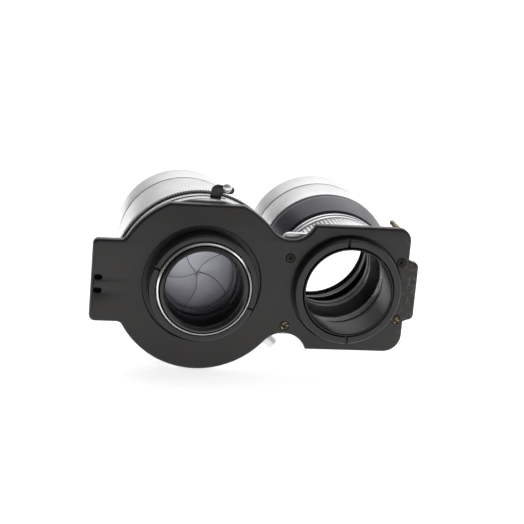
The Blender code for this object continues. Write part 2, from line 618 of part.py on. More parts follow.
def build_setting_rings():
    """Knurled speed ring and the aperture ring with its lever."""
    rim_end = SPEED_RING_Y + SPEED_RING_RIM
    end = SPEED_RING_Y + SPEED_RING_LENGTH
    step = SPEED_RING_RADIUS - SPEED_RING_STEP
    turned("speed_ring", TAKING_X,
           [(SPEED_RING_BORE, SPEED_RING_Y), (SPEED_RING_RADIUS, SPEED_RING_Y),
            (SPEED_RING_RADIUS, rim_end), (step, rim_end), (step, end), (SPEED_RING_BORE, end)],
           BLACK_METAL)
    ring = turned("aperture_ring", TAKING_X,
                  tube_profile(SPEED_RING_BORE, APERTURE_RING_RADIUS, APERTURE_RING_Y,
                               APERTURE_RING_Y + APERTURE_RING_LENGTH), SATIN_SILVER)
    bm = bmesh.new()
    half = APERTURE_LEVER_WIDTH / 2
    add_box(bm, (APERTURE_RING_RADIUS - 0.5, APERTURE_RING_Y + APERTURE_LEVER_INSET, -half),
            (APERTURE_LEVER_REACH, APERTURE_RING_Y + APERTURE_RING_LENGTH - APERTURE_LEVER_INSET,
             half), APERTURE_LEVER_ANGLE)
    cut(ring, cutter("aperture_lever_form", bm, (TAKING_X, 0.0, 0.0)), "UNION")


def build_cocking_lever():
    """Hub ring inside the case, an arm out through its window, a hook and a round knob."""
    hub = SLEEVE_BORE + 1.0
    root = hub + COCKING_HUB_WIDTH / 2
    half = COCKING_WIDTH / 2
    inner = COCKING_REACH - 2 * COCKING_TIP_RADIUS
    tip_z = COCKING_TIP_RADIUS - half - COCKING_HOOK + 1.4
    bend = COCKING_BEND_RADIUS
    arm = [(root, -half), (inner, -half), (inner, tip_z)]
    arm += arc((COCKING_REACH - COCKING_TIP_RADIUS, tip_z), COCKING_TIP_RADIUS, 180, 360, 6)
    arm += arc((COCKING_REACH - bend, half - bend), bend, 0, 90, 5) + [(root, half)]
    lever = turned("cocking_lever", TAKING_X,
                   tube_profile(hub, hub + COCKING_HUB_WIDTH, LEVER_Y, LEVER_Y + LEVER_THICKNESS),
                   BLACK_METAL)
    bm = bmesh.new()
    add_plate(bm, rotated(arm, COCKING_ANGLE), LEVER_Y, LEVER_Y + LEVER_THICKNESS)
    cut(lever, cutter("cocking_arm_form", bm, (TAKING_X, 0.0, 0.0)), "UNION")
    centre = rotated([(COCKING_REACH - 0.2, 2.4 - COCKING_HOOK)], COCKING_ANGLE)[0]
    knob_y = LEVER_Y - GAP
    radius = COCKING_KNOB_RADIUS
    profile = [(0, knob_y - 1.6 * radius), (0.6 * radius, knob_y - 1.45 * radius),
               (radius, knob_y - 0.8 * radius), (0.8 * radius, knob_y - 0.25 * radius),
               (0.6 * radius, knob_y), (0, knob_y)]
    bm = bmesh.new()
    add_turned(bm, profile, SMALL_SEGMENTS, centre)
    finish_mesh("cocking_knob", bm, CHROME, (TAKING_X, 0.0, 0.0))


def build_release_lever():
    """Release lever on its own pivot screw, reaching out through the case."""
    pivot = polar(RELEASE_PIVOT_RADIUS, RELEASE_ANGLE)
    half = RELEASE_WIDTH / 2
    length = RELEASE_REACH - RELEASE_PIVOT_RADIUS
    corner = (length - RELEASE_CORNER, RELEASE_CORNER - half)
    arm = arc((0, 0), half, 90, 270, 7) + arc(corner, RELEASE_CORNER, -90, 0, 3)
    arm += [(length, half)]
    eye = circle(RELEASE_SCREW_RADIUS + GAP, 10)
    plate("release_lever", rotated(arm, RELEASE_ANGLE), LEVER_Y, LEVER_Y + LEVER_THICKNESS,
          BLACK_METAL, (TAKING_X + pivot[0], pivot[1]), (rotated(eye, RELEASE_ANGLE),))
    shank, head = RELEASE_SCREW_RADIUS, 2 * RELEASE_SCREW_RADIUS
    neck = LEVER_Y + LEVER_THICKNESS + GAP
    top = neck + RELEASE_HEAD_THICKNESS
    bm = bmesh.new()
    add_turned(bm, [(0, CASE_Y), (shank, CASE_Y), (shank, neck), (head, neck), (head, top),
                    (0, top)], SMALL_SEGMENTS)
    finish_mesh("release_pivot_screw", bm, BARE_BRASS, (TAKING_X + pivot[0], 0.0, pivot[1]))


def radial_place(angle):
    """Turn that lays a piece's Y axis along a radius of the shutter."""
    return Matrix.Rotation(-math.radians(angle), 4, "Y") @ Matrix.Rotation(-math.pi / 2, 4, "Z")


def build_sync_fittings():
    """Flash sync socket and the small sync lever beside it, both on radii of the shutter."""
    base = CASE_RADIUS + GAP
    y = (CASE_Y + NECK_Y) / 2 + GAP / 2
    collar = SOCKET_RADIUS + SOCKET_COLLAR
    floor = SOCKET_REACH - SOCKET_DEPTH
    bm = bmesh.new()
    add_turned(bm, [(0, base), (collar, base), (collar, base + 1.0), (SOCKET_RADIUS, base + 1.0),
                    (SOCKET_RADIUS, SOCKET_REACH), (SOCKET_BORE, SOCKET_REACH),
                    (SOCKET_BORE, floor), (0, floor)], SMALL_SEGMENTS)
    bmesh.ops.transform(bm, matrix=radial_place(SOCKET_ANGLE), verts=bm.verts)
    finish_mesh("sync_socket", bm, SATIN_SILVER, (TAKING_X, y, 0.0))
    outline = arc((0, 0), SYNC_HUB_RADIUS, -90, 90, 7)
    outline += arc((-SYNC_ARM, 0), SYNC_TIP_RADIUS, 90, 270, 5)
    bm = bmesh.new()
    add_plate(bm, outline, 0.0, SYNC_THICKNESS)
    lay_flat = Matrix.Rotation(math.pi / 2, 4, "Y")
    bmesh.ops.transform(bm, matrix=radial_place(SYNC_ANGLE) @ lay_flat, verts=bm.verts)
    foot = polar(base, SYNC_ANGLE)
    finish_mesh("sync_lever", bm, CHROME, (TAKING_X + foot[0], y, foot[1]))


def build_barrel(side, x, start, floor_bore):
    """Barrel, front ring, front glass and name ring of one lens; the floor is at its rear."""
    floor = start + BARREL_FLOOR
    turned(side + "_barrel", x,
           [(floor_bore, start), (BARREL_RADIUS, start), (BARREL_RADIUS, BARREL_END),
            (SPIGOT_RADIUS, BARREL_END), (SPIGOT_RADIUS, BARREL_END + SPIGOT_LENGTH),
            (BARREL_BORE, BARREL_END + SPIGOT_LENGTH), (BARREL_BORE, floor),
            (floor_bore, floor)], SATIN_SILVER)
    turned(side + "_front_ring", x,
           [(FRONT_BORE, FRONT_RING_Y), (BARREL_RADIUS, FRONT_RING_Y),
            (BARREL_RADIUS, FRONT_LENGTH - FRONT_CHAMFER),
            (BARREL_RADIUS - FRONT_CHAMFER, FRONT_LENGTH), (FRONT_BORE, FRONT_LENGTH)],
           SATIN_SILVER)
    turned(side + "_front_glass", x,
           lens_profile(FRONT_GLASS_RADIUS, FRONT_GLASS_Y, FRONT_GLASS_THICKNESS, 0.0,
                        FRONT_GLASS_BULGE), LENS_GLASS)
    end = NAME_RING_Y + NAME_RING_THICKNESS
    turned(side + "_name_ring", x,
           [(FRONT_GLASS_RADIUS - 1.0, NAME_RING_Y), (SPIGOT_RADIUS, NAME_RING_Y),
            (SPIGOT_RADIUS, end), (FRONT_GLASS_RADIUS - 0.2, end)], BLACK_METAL)


def build_taking_front():
    """Taking barrel with an inner cell that carries its second glass."""
    build_barrel("taking", TAKING_X, BARREL_Y, FACE_BORE)
    end = INNER_CELL_Y + INNER_CELL_LENGTH
    seat = INNER_CELL_Y + INNER_CELL_FLOOR
    lip = INNER_CELL_RADIUS - INNER_CELL_LIP
    turned("taking_inner_cell", TAKING_X,
           [(lip, INNER_CELL_Y), (BARREL_BORE - GAP, INNER_CELL_Y), (BARREL_BORE - GAP, end),
            (INNER_CELL_RADIUS + GAP, end), (INNER_CELL_RADIUS + GAP, seat), (lip, seat)],
           BLACK_METAL)
    turned("taking_inner_glass", TAKING_X,
           lens_profile(INNER_CELL_RADIUS, seat + GAP, INNER_GLASS_THICKNESS, 0.0,
                        INNER_GLASS_BULGE), LENS_GLASS)


def mount_plate_outline():
    """Rounded rectangle around the board screws, about the viewing axis."""
    left = SCREW_PLACES[0][0] - MOUNT_PLATE_MARGIN
    right = SCREW_PLACES[-1][0] + MOUNT_PLATE_MARGIN
    outline = []
    for x, z, start in ((right, MOUNT_PLATE_HALF_HEIGHT, 0), (left, MOUNT_PLATE_HALF_HEIGHT, 90),
                        (left, -MOUNT_PLATE_HALF_HEIGHT, 180),
                        (right, -MOUNT_PLATE_HALF_HEIGHT, 270)):
        centre = (x - math.copysign(MOUNT_PLATE_CORNER, x),
                  z - math.copysign(MOUNT_PLATE_CORNER, z))
        outline += arc(centre, MOUNT_PLATE_CORNER, start, start + 90, 3)
    return outline


def build_viewing_rear():
    """Rear tube, mount plate, lower barrel, lock ring and bright inner ring."""
    floor = LOWER_BARREL_Y + LOWER_BARREL_FLOOR
    flange = floor + GAP
    flange_end = flange + TUBE_FLANGE_THICKNESS
    turned("viewing_rear_tube", VIEWING_X,
           [(TUBE_BORE, -TUBE_PROUD), (TUBE_OUTER, -TUBE_PROUD), (TUBE_OUTER, flange),
            (TUBE_FLANGE_RADIUS, flange), (TUBE_FLANGE_RADIUS, flange_end),
            (TUBE_BORE, flange_end)], BLACK_METAL)
    holes = [circle(TUBE_OUTER + GAP, SEGMENTS)]
    holes += [circle(SCREW_SHANK_RADIUS + GAP, SMALL_SEGMENTS, (x - VIEWING_X, z))
              for x, z in screw_centres()]
    mount = plate("viewing_mount_plate", mount_plate_outline(), MOUNT_PLATE_Y,
                  MOUNT_PLATE_Y + MOUNT_PLATE_THICKNESS, BLACK_METAL, (VIEWING_X, 0.0), holes)
    bm = bmesh.new()
    clear = CASE_RADIUS + 2 * GAP
    add_turned(bm, [(0, 0), (clear, 0), (clear, LOWER_BARREL_Y), (0, LOWER_BARREL_Y)], SEGMENTS)
    cut(mount, cutter("mount_plate_cutter", bm, (TAKING_X, 0.0, 0.0)))
    turned("viewing_lower_barrel", VIEWING_X,
           [(TUBE_OUTER + GAP, LOWER_BARREL_Y), (LOWER_BARREL_RADIUS, LOWER_BARREL_Y),
            (LOWER_BARREL_RADIUS, LOWER_BARREL_END), (LOWER_BARREL_BORE, LOWER_BARREL_END),
            (LOWER_BARREL_BORE, floor), (TUBE_OUTER + GAP, floor)], SATIN_SILVER)
    turned("viewing_lock_ring", VIEWING_X,
           tube_profile(LOWER_BARREL_BORE + 1.0, LOCK_RING_RADIUS, LOWER_BARREL_END + GAP,
                        LOWER_BARREL_END + GAP + LOCK_RING_LENGTH), SATIN_SILVER)
    bright_end = VIEW_CELL_Y - GAP
    turned("viewing_bright_ring", VIEWING_X,
           tube_profile(BRIGHT_RING_BORE, LOWER_BARREL_BORE - GAP,
                        bright_end - BRIGHT_RING_LENGTH, bright_end), CHROME)


def build_viewing_front():
    """Rear cell and glass, black cone band, and the front barrel of the viewing lens."""
    cell = LOWER_BARREL_BORE - GAP
    throat = VIEW_CELL_Y + VIEW_CELL_DEPTH
    seat = throat + VIEW_THROAT_LENGTH
    end = BAND_FRONT - 2.6
    turned("viewing_rear_cell", VIEWING_X,
           [(cell - 0.6, VIEW_CELL_Y), (cell, VIEW_CELL_Y), (cell, end),
            (VIEW_GLASS_RADIUS + GAP, end), (VIEW_GLASS_RADIUS + GAP, seat),
            (VIEW_CELL_THROAT, seat), (VIEW_CELL_THROAT, throat)], BLACK_METAL)
    turned("viewing_rear_glass", VIEWING_X,
           lens_profile(VIEW_GLASS_RADIUS, seat + GAP, VIEW_GLASS_THICKNESS, 0.0,
                        VIEW_GLASS_BULGE), LENS_GLASS)
    ring_y = seat + 2 * GAP + VIEW_GLASS_THICKNESS
    turned("viewing_rear_retainer", VIEWING_X,
           tube_profile(VIEW_GLASS_RADIUS - 0.4, VIEW_GLASS_RADIUS, ring_y,
                        ring_y + VIEW_RING_THICKNESS), CHROME)
    band_front = BAND_FRONT - GAP
    band_radius = BARREL_RADIUS - 0.25
    turned("viewing_band", VIEWING_X,
           [(BAND_BORE, BAND_REAR), (BAND_REAR_RADIUS, BAND_REAR),
            (band_radius, band_front - BAND_RIM), (band_radius, band_front),
            (BAND_BORE, band_front)], BLACK_METAL)
    build_barrel("viewing", VIEWING_X, BAND_FRONT, BARREL_BORE - 1.0)
    retainer_y = BARREL_END - FRONT_RETAINER_INSET
    turned("viewing_front_retainer", VIEWING_X,
           tube_profile(FRONT_RETAINER_BORE, BARREL_BORE - GAP, retainer_y,
                        retainer_y + FRONT_RETAINER_THICKNESS), CHROME)


def build_post():
    """Small post with a round tip on the front of the board."""
    start = BOARD_THICKNESS + GAP
    foot_radius, foot_height = POST_FOOT
    bm = bmesh.new()
    add_turned(bm, [(0, start), (foot_radius, start), (foot_radius, start + foot_height),
                    (POST_RADIUS, start + foot_height), (POST_RADIUS, POST_END - POST_TIP_CHAMFER),
                    (POST_RADIUS - POST_TIP_CHAMFER, POST_END), (0, POST_END)], SMALL_SEGMENTS)
    finish_mesh("stop_post", bm, BARE_BRASS, (VIEWING_X + POST_PLACE[0], 0.0, POST_PLACE[1]))


def main():
    """Build the whole lens unit."""
    clear_scene()
    build_board()
    build_screws()
    build_slotted_ring("taking_slotted_ring", TAKING_X, SLEEVE_OUTER + GAP, TAKING_RING_RADIUS,
                       TAKING_RING_PROUD, TAKING_SLOTS)
    build_slotted_ring("viewing_slotted_ring", VIEWING_X, TUBE_OUTER + GAP, VIEWING_RING_RADIUS,
                       VIEWING_RING_PROUD, VIEWING_SLOTS)
    build_taking_rear()
    build_shutter_shell()
    build_shutter_works()
    build_setting_rings()
    build_cocking_lever()
    build_release_lever()
    build_sync_fittings()
    build_taking_front()
    build_viewing_rear()
    build_viewing_front()
    build_post()


if __name__ == "__main__":
    main()
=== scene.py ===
"""Visual model of an interchangeable twin-lens unit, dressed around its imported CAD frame.

The frame: X runs along the board from the taking lens to the viewing lens, Y from the board's
back face towards the front of the lenses, Z up.  Lengths below are in millimetres and angles in
degrees, measured from +X towards +Z, unless a docstring says otherwise.
"""
import logging
import math
from dataclasses import dataclass, field
from enum import Enum
from typing import Callable, Optional, Sequence

import bmesh
import bpy
import numpy as np
from mathutils import Matrix, Vector
from mathutils.geometry import tessellate_polygon


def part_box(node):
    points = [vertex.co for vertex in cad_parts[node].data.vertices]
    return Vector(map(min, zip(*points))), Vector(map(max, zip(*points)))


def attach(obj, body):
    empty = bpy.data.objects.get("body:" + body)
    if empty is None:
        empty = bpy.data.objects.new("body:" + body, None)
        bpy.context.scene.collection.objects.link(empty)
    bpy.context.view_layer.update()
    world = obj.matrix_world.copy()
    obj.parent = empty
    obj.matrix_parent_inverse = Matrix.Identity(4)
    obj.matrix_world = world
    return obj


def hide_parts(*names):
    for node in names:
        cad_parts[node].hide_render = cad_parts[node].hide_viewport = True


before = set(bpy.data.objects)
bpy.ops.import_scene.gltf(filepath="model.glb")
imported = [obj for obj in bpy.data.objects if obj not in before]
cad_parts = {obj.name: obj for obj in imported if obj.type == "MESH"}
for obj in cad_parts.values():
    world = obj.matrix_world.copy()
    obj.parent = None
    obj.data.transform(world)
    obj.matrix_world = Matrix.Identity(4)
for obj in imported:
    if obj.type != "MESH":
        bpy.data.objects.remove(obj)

MM = 0.001
TURN = 2.0 * math.pi
ROOT = "lens_unit"
LOG = logging.getLogger("lens_unit")
Array = np.ndarray
Colour = tuple[float, float, float]
Ripple = Callable[[Array, Array], Array]


# ---------------------------------------------------------------- outlines and surfaces

def arc(centre: Sequence[float], radius: float, start: float, end: float, count: int) -> Array:
    """Points of an arc: centre + radius * (cos, sin) of evenly spaced angles.

    Args:
        centre: middle of the arc (x, z).
        radius: its radius.
        start: first angle.
        end: last angle.
        count: number of points, both ends included.

    Returns:
        An array of (x, z) rows.
    """
    angles = np.radians(np.linspace(start, end, count))
    return np.asarray(centre) + radius * np.column_stack([np.cos(angles), np.sin(angles)])


def turned(points: Array, degrees: float) -> Array:
    """Points (x, z) turned about the origin by a plane rotation matrix.

    Args:
        points: rows of (x, z).
        degrees: the turn from +X towards +Z.

    Returns:
        The turned rows.
    """
    c, s = math.cos(math.radians(degrees)), math.sin(math.radians(degrees))
    return points @ np.array([[c, s], [-s, c]])


def circle(centre: Sequence[float], radius: float, count: int) -> Array:
    """A closed circle of evenly spaced (x, z) points."""
    return arc(centre, radius, 0, 360, count + 1)[:-1]


def polar(radius: float, degrees: float) -> Array:
    """A point (x, z) from its radius and angle."""
    return radius * np.array([math.cos(math.radians(degrees)), math.sin(math.radians(degrees))])


def around(centre: Sequence[float], radius: Array, y: Array, angles: Array) -> Array:
    """Points on circles about a Y axis: (cx + r cos a, y, cz + r sin a).

    Args:
        centre: where the axis stands (x, z).
        radius: the circles' radii.
        y: their places along Y.
        angles: the angles, in radians.

    Returns:
        Points (x, y, z), shaped like the radii, places and angles put together.
    """
    return np.stack(np.broadcast_arrays(centre[0] + radius * np.cos(angles), y,
                                        centre[1] + radius * np.sin(angles)), axis=-1)


def joined(*runs: Array) -> Array:
    """Several runs of points as one closed line, without points that repeat.

    Args:
        runs: arrays of (x, z) rows, in order.

    Returns:
        One array of rows, whose neighbours are at least a hundredth apart.
    """
    line = np.concatenate([np.atleast_2d(run) for run in runs])
    step = np.linalg.norm(line - np.roll(line, 1, axis=0), axis=1)
    return line[step > 0.01]


def inset(line: Array, distance: float) -> Array:
    """A closed line moved inwards along its normals.

    The normal at a point is the direction between its two neighbours, turned by a right angle
    away from the enclosed area, whose sign comes from the shoelace sum.

    Args:
        line: rows of (x, z).
        distance: how far inwards; negative moves outwards.

    Returns:
        The moved rows.
    """
    ahead, behind = np.roll(line, -1, axis=0), np.roll(line, 1, axis=0)
    along = ahead - behind
    along /= np.linalg.norm(along, axis=1, keepdims=True)
    area = np.sum(line[:, 0] * ahead[:, 1] - ahead[:, 0] * line[:, 1])
    outward = np.column_stack([along[:, 1], -along[:, 0]]) * np.sign(area)
    return line - distance * outward


def softened(line: Array, radius: float, closed: bool = True, steps: int = 3) -> Array:
    """Round the corners of a line.

    Each corner c becomes the parabola (1-t)^2 a + 2t(1-t) c + t^2 b, where a and b lie on the two
    sides, a radius away from the corner but never past 0.45 of the side.

    Args:
        line: rows of (radius, y).
        radius: how far from a corner its rounding begins.
        closed: whether the last point joins the first; if not, both ends stay sharp.
        steps: pieces in each rounding.

    Returns:
        The rounded rows.
    """
    line = np.asarray(line, float)

    def towards(other: Array) -> Array:
        """The points a radius away from each corner, towards its neighbour.

        Args:
            other: the neighbours.

        Returns:
            One point for each corner.
        """
        way = other - line
        length = np.maximum(np.linalg.norm(way, axis=1, keepdims=True), 1e-9)
        return line + way / length * np.minimum(radius, 0.45 * length)

    a, b = towards(np.roll(line, 1, axis=0)), towards(np.roll(line, -1, axis=0))
    t = np.linspace(0.0, 1.0, steps + 1)[None, :, None]
    curve = (1 - t) ** 2 * a[:, None] + 2 * t * (1 - t) * line[:, None] + t ** 2 * b[:, None]
    if closed:
        return curve.reshape(-1, 2)
    return np.concatenate([line[:1], curve[1:-1].reshape(-1, 2), line[-1:]])


def tube(inner: float, outer: float, back: float, front: float) -> Array:
    """Closed profile of a plain tube, as rows of (radius, y)."""
    return np.array([(inner, back), (outer, back), (outer, front), (inner, front)])


def thread(radius: float, start: float, end: float, pitch: float, depth: float) -> Array:
    """Rows of (radius, y) that step in and out by the depth, once in every pitch.

    Args:
        radius: crest of the thread.
        start: where it begins along Y.
        end: where it ends.
        pitch: distance from crest to crest.
        depth: how far the roots lie from the crests; negative for a thread in a bore.

    Returns:
        The zigzag rows.
    """
    count = 2 * max(1, round(abs(end - start) / pitch)) + 1
    return np.column_stack([radius - depth * (np.arange(count) % 2),
                            np.linspace(start, end, count)])


@dataclass(frozen=True)
class Knurl:
    """Teeth around a turned piece: a triangle wave in the angle, where the profile is tall enough.

    The wave is |2 (n a / 2 pi mod 1) - 1|, with n teeth and angle a, and it lowers the surface by
    up to the depth on rows whose radius is at least the floor and whose y lies in the span.
    """

    teeth: int
    depth: float
    floor: float
    span: tuple[float, float]

    def __call__(self, profile: Array, angles: Array) -> Array:
        """Offsets of the radius for every profile row and angle.

        Args:
            profile: rows of (radius, y).
            angles: the angles around the axis, in radians.

        Returns:
            An array of offsets, one row for each profile row.
        """
        wave = np.abs(2.0 * np.mod(self.teeth * angles / TURN, 1.0) - 1.0)
        inside = ((profile[:, 0] >= self.floor) & (profile[:, 1] >= self.span[0])
                  & (profile[:, 1] <= self.span[1]))
        return -self.depth * inside[:, None] * wave[None, :]


class Solid:
    """The surfaces of one piece, gathered as whole arrays and put into a mesh together."""

    def __init__(self) -> None:
        """Start with no surface."""
        self.points: list[Array] = []
        self.faces: list[Array] = []
        self.count = 0

    def add(self, points: Array, faces: Array) -> None:
        """Add points and faces.

        Args:
            points: points (x, y, z), in any shape.
            faces: rows of point numbers, counted from nought.
        """
        self.points.append(points.reshape(-1, 3))
        self.faces.append(faces + self.count)
        self.count += len(self.points[-1])

    def grid(self, points: Array, wrap_rows: bool = False, wrap_columns: bool = False,
             keep: Optional[Array] = None) -> None:
        """Add a grid of points and the quads between its rows and columns.

        Args:
            points: an array of rows by columns by 3.
            wrap_rows: whether the last row joins the first.
            wrap_columns: whether the last column joins the first.
            keep: which quads to keep, as truths by row and column, or None for all.
        """
        rows, columns = points.shape[:2]
        i = np.arange(rows if wrap_rows else rows - 1)[:, None]
        j = np.arange(columns if wrap_columns else columns - 1)[None, :]
        below, beside = (i + 1) % rows, (j + 1) % columns
        quads = np.stack([i * columns + j, below * columns + j, below * columns + beside,
                          i * columns + beside], axis=-1)
        self.add(points, quads.reshape(-1, 4) if keep is None else quads[keep])

    def revolve(self, profile: Array, centre: Sequence[float] = (0.0, 0.0), segments: int = 128,
                closed: bool = True, ripple: Optional[Ripple] = None) -> "Solid":
        """Add a surface of revolution about a Y axis.

        The radius is the profile's own plus the ripple's offset at that row and angle.

        Args:
            profile: rows of (radius, y).
            centre: where the axis stands (x, z).
            segments: number of angles.
            closed: whether the profile's last row joins its first.
            ripple: offsets of the radius, or None.

        Returns:
            This solid.
        """
        profile = np.asarray(profile, float)
        angles = np.linspace(0.0, TURN, segments, endpoint=False)
        radius = profile[:, :1] + (ripple(profile, angles) if ripple else 0.0 * angles[None, :])
        self.grid(around(centre, radius, profile[:, 1:], angles), closed, True)
        return self

    def wall(self, lines: Sequence[Array], depths: Sequence[float]) -> None:
        """Add the surface between closed lines, each at its own depth.

        Args:
            lines: closed lines of (x, z), with as many points each.
            depths: the lines' places along Y.
        """
        rows = [np.column_stack([line[:, 0], np.full(len(line), y), line[:, 1]])
                for line, y in zip(lines, depths)]
        self.grid(np.stack(rows), wrap_columns=True)

    def fill(self, loops: Sequence[Array], y: float) -> None:
        """Add a flat face at y, inside the first loop and outside the others.

        Args:
            loops: closed lines of (x, z), the outline first and its holes after it.
            y: where the face lies.
        """
        flat = [np.column_stack([loop, np.zeros(len(loop))]) for loop in loops]
        triangles = np.array(tessellate_polygon([list(map(Vector, loop)) for loop in flat]))
        points = np.concatenate(flat)[:, [0, 2, 1]]
        points[:, 1] = y
        self.add(points, triangles)

    def rim(self, outline: Array, back: float, front: float, edge: float, steps: int = 3,
            bevel: float = 0.0) -> Array:
        """Add the outer wall of a flat plate, rounded towards both faces.

        The rounding is a quarter ellipse: inset bevel (1 - sin t) at depth edge (1 - cos t).

        Args:
            outline: closed line of (x, z).
            back: y of the back face.
            front: y of the front face.
            edge: radius of the rounded edges.
            steps: pieces in each rounding.
            bevel: how far the rounding reaches into the face; nought makes it the edge's radius.

        Returns:
            The outline of both faces.
        """
        t = np.linspace(0.0, math.pi / 2, steps + 1)
        lines = [inset(outline, d) for d in (bevel or edge) * (1 - np.sin(t))]
        rise = edge * (1 - np.cos(t))
        self.wall(lines + lines[::-1], [*(back + rise), *(front - rise[::-1])])
        return lines[0]

    def slab(self, outline: Array, back: float, front: float, edge: float,
             holes: Sequence[Array] = (), steps: int = 3, bevel: float = 0.0) -> "Solid":
        """Add a flat plate with rounded outer edges and straight holes.

        Args:
            outline: closed line of (x, z).
            back: y of the back face.
            front: y of the front face.
            edge: radius of the rounded edges.
            holes: closed lines of the through holes.
            steps: pieces in each rounding.
            bevel: how far the rounding reaches into the face, as for the rim.

        Returns:
            This solid.
        """
        face = self.rim(outline, back, front, edge, steps, bevel)
        for y in (back, front):
            self.fill([face, *holes], y)
        for hole in holes:
            self.wall([hole, hole], [back, front])
        return self

    def mesh(self, name: str, smooth: float = 32.0) -> bpy.types.Mesh:
        """Make the mesh in metres, with seams and poles closed and faces pointing outwards.

        Args:
            name: the mesh's name.
            smooth: edges sharper than this angle stay sharp.

        Returns:
            The finished mesh.
        """
        data = bpy.data.meshes.new(name)
        faces = [row for block in self.faces for row in block.tolist()]
        data.from_pydata(np.concatenate(self.points) * MM, [], faces)
        bm = bmesh.new()
        bm.from_mesh(data)
        bmesh.ops.remove_doubles(bm, verts=bm.verts, dist=2e-6)
        bmesh.ops.dissolve_degenerate(bm, edges=bm.edges, dist=1e-7)
        bmesh.ops.recalc_face_normals(bm, faces=bm.faces)
        bm.to_mesh(data)
        bm.free()
        data.shade_smooth()
        data.set_sharp_from_angle(angle=math.radians(smooth))
        return data


# ---------------------------------------------------------------- finishes

class Slot(Enum):
    """The record's material slots."""

    BOARD = "board_black"
    BLACK = "ring_black"
    BAND = "band_black"
    BLADE_BLACK = "blade_black"
    BLADE_STEEL = "blade_steel"
    SILVER = "satin_silver"
    BRIGHT = "bright_metal"
    CHROME = "chrome_tip"
    BRASS = "screw_brass"
    GLASS = "lens_glass"


class NodeTree:
    """A material under construction: its nodes, its links and its surface shader."""

    def __init__(self, name: str) -> None:
        """Start a material that holds only its surface shader.

        Args:
            name: the material's name.
        """
        self.material = bpy.data.materials.new(name)
        self.material.use_nodes = True
        self.tree = self.material.node_tree
        self.shader = self.tree.nodes["Principled BSDF"]

    def node(self, kind: str, inputs: Optional[dict] = None, **settings: object) -> bpy.types.Node:
        """Add a node.

        Args:
            kind: the node's type name.
            inputs: values or sockets for its inputs, by name or number.
            settings: its own properties.

        Returns:
            The new node.
        """
        made = self.tree.nodes.new(kind)
        for key, value in settings.items():
            setattr(made, key, value)
        for key, value in (inputs or {}).items():
            self.put(made.inputs[key], value)
        return made

    def put(self, socket: bpy.types.NodeSocket, value: object) -> None:
        """Link a socket to an input, or set the input's own value.

        Args:
            socket: the input.
            value: another node's output, or a constant.
        """
        if isinstance(value, bpy.types.NodeSocket):
            self.tree.links.new(value, socket)
        else:
            socket.default_value = value

    def surface(self, **values: object) -> None:
        """Set the surface shader's inputs.

        Args:
            values: values or sockets by input name, an underscore standing for a space.
        """
        for key, value in values.items():
            self.put(self.shader.inputs[key.replace("_", " ")], value)

    def place(self, axis_x: float = 0.0) -> bpy.types.NodeSocket:
        """Object coordinates in millimetres.

        Args:
            axis_x: where X is nought.

        Returns:
            The coordinates' socket.
        """
        coordinates = self.node("ShaderNodeTexCoord").outputs["Object"]
        return self.node("ShaderNodeMapping", {
            "Vector": coordinates, "Location": (-axis_x, 0.0, 0.0),
            "Scale": (1 / MM, 1 / MM, 1 / MM)}).outputs["Vector"]

    def noise(self, vector: bpy.types.NodeSocket, scale: float, detail: float = 3.0,
              roughness: float = 0.55) -> bpy.types.NodeSocket:
        """Noise at a place.

        Args:
            vector: the place.
            scale: bumps in each millimetre.
            detail: how many finer layers it has.
            roughness: how strong the finer layers are.

        Returns:
            The noise value's socket.
        """
        return self.node("ShaderNodeTexNoise", {
            "Vector": vector, "Scale": scale, "Detail": detail,
            "Roughness": roughness}).outputs["Fac"]

    def ranged(self, value: bpy.types.NodeSocket, low: float, high: float, to_low: float = 0.0,
               to_high: float = 1.0) -> bpy.types.NodeSocket:
        """Carry a value from one range into another and hold it inside.

        Args:
            value: the value.
            low: start of its range.
            high: end of its range.
            to_low: start of the new range.
            to_high: end of the new range.

        Returns:
            The new value's socket.
        """
        return self.node("ShaderNodeMapRange", {
            "Value": value, "From Min": low, "From Max": high, "To Min": to_low,
            "To Max": to_high}).outputs["Result"]

    def mixed(self, share: bpy.types.NodeSocket, first: object, second: object
              ) -> bpy.types.NodeSocket:
        """Mix two colours, each a constant or a socket.

        Args:
            share: share of the second colour.
            first: the colour at nought.
            second: the colour at one.

        Returns:
            The mixed colour's socket.
        """
        made = self.node("ShaderNodeMix", {"Factor": share}, data_type="RGBA")
        colours = [socket for socket in made.inputs if socket.type == "RGBA"]
        for socket, colour in zip(colours, (first, second)):
            self.put(socket, (*colour, 1.0) if isinstance(colour, tuple) else colour)
        return [socket for socket in made.outputs if socket.type == "RGBA"][0]

    def product(self, first: object, second: object) -> bpy.types.NodeSocket:
        """Two numbers multiplied, each a constant or a socket."""
        return self.node("ShaderNodeMath", {0: first, 1: second},
                         operation="MULTIPLY").outputs[0]

    def bump(self, height: bpy.types.NodeSocket, depth: float, strength: float) -> None:
        """Raise the surface.

        Args:
            height: a height from nought to one.
            depth: the height of one, in millimetres.
            strength: share of the effect on the surface's slope.
        """
        made = self.node("ShaderNodeBump", {"Height": height, "Distance": depth * MM,
                                            "Strength": strength})
        self.put(self.shader.inputs["Normal"], made.outputs["Normal"])


def lighter(colour: Colour, share: float) -> Colour:
    """A colour scaled and held under one."""
    return tuple(min(1.0, part * share) for part in colour)


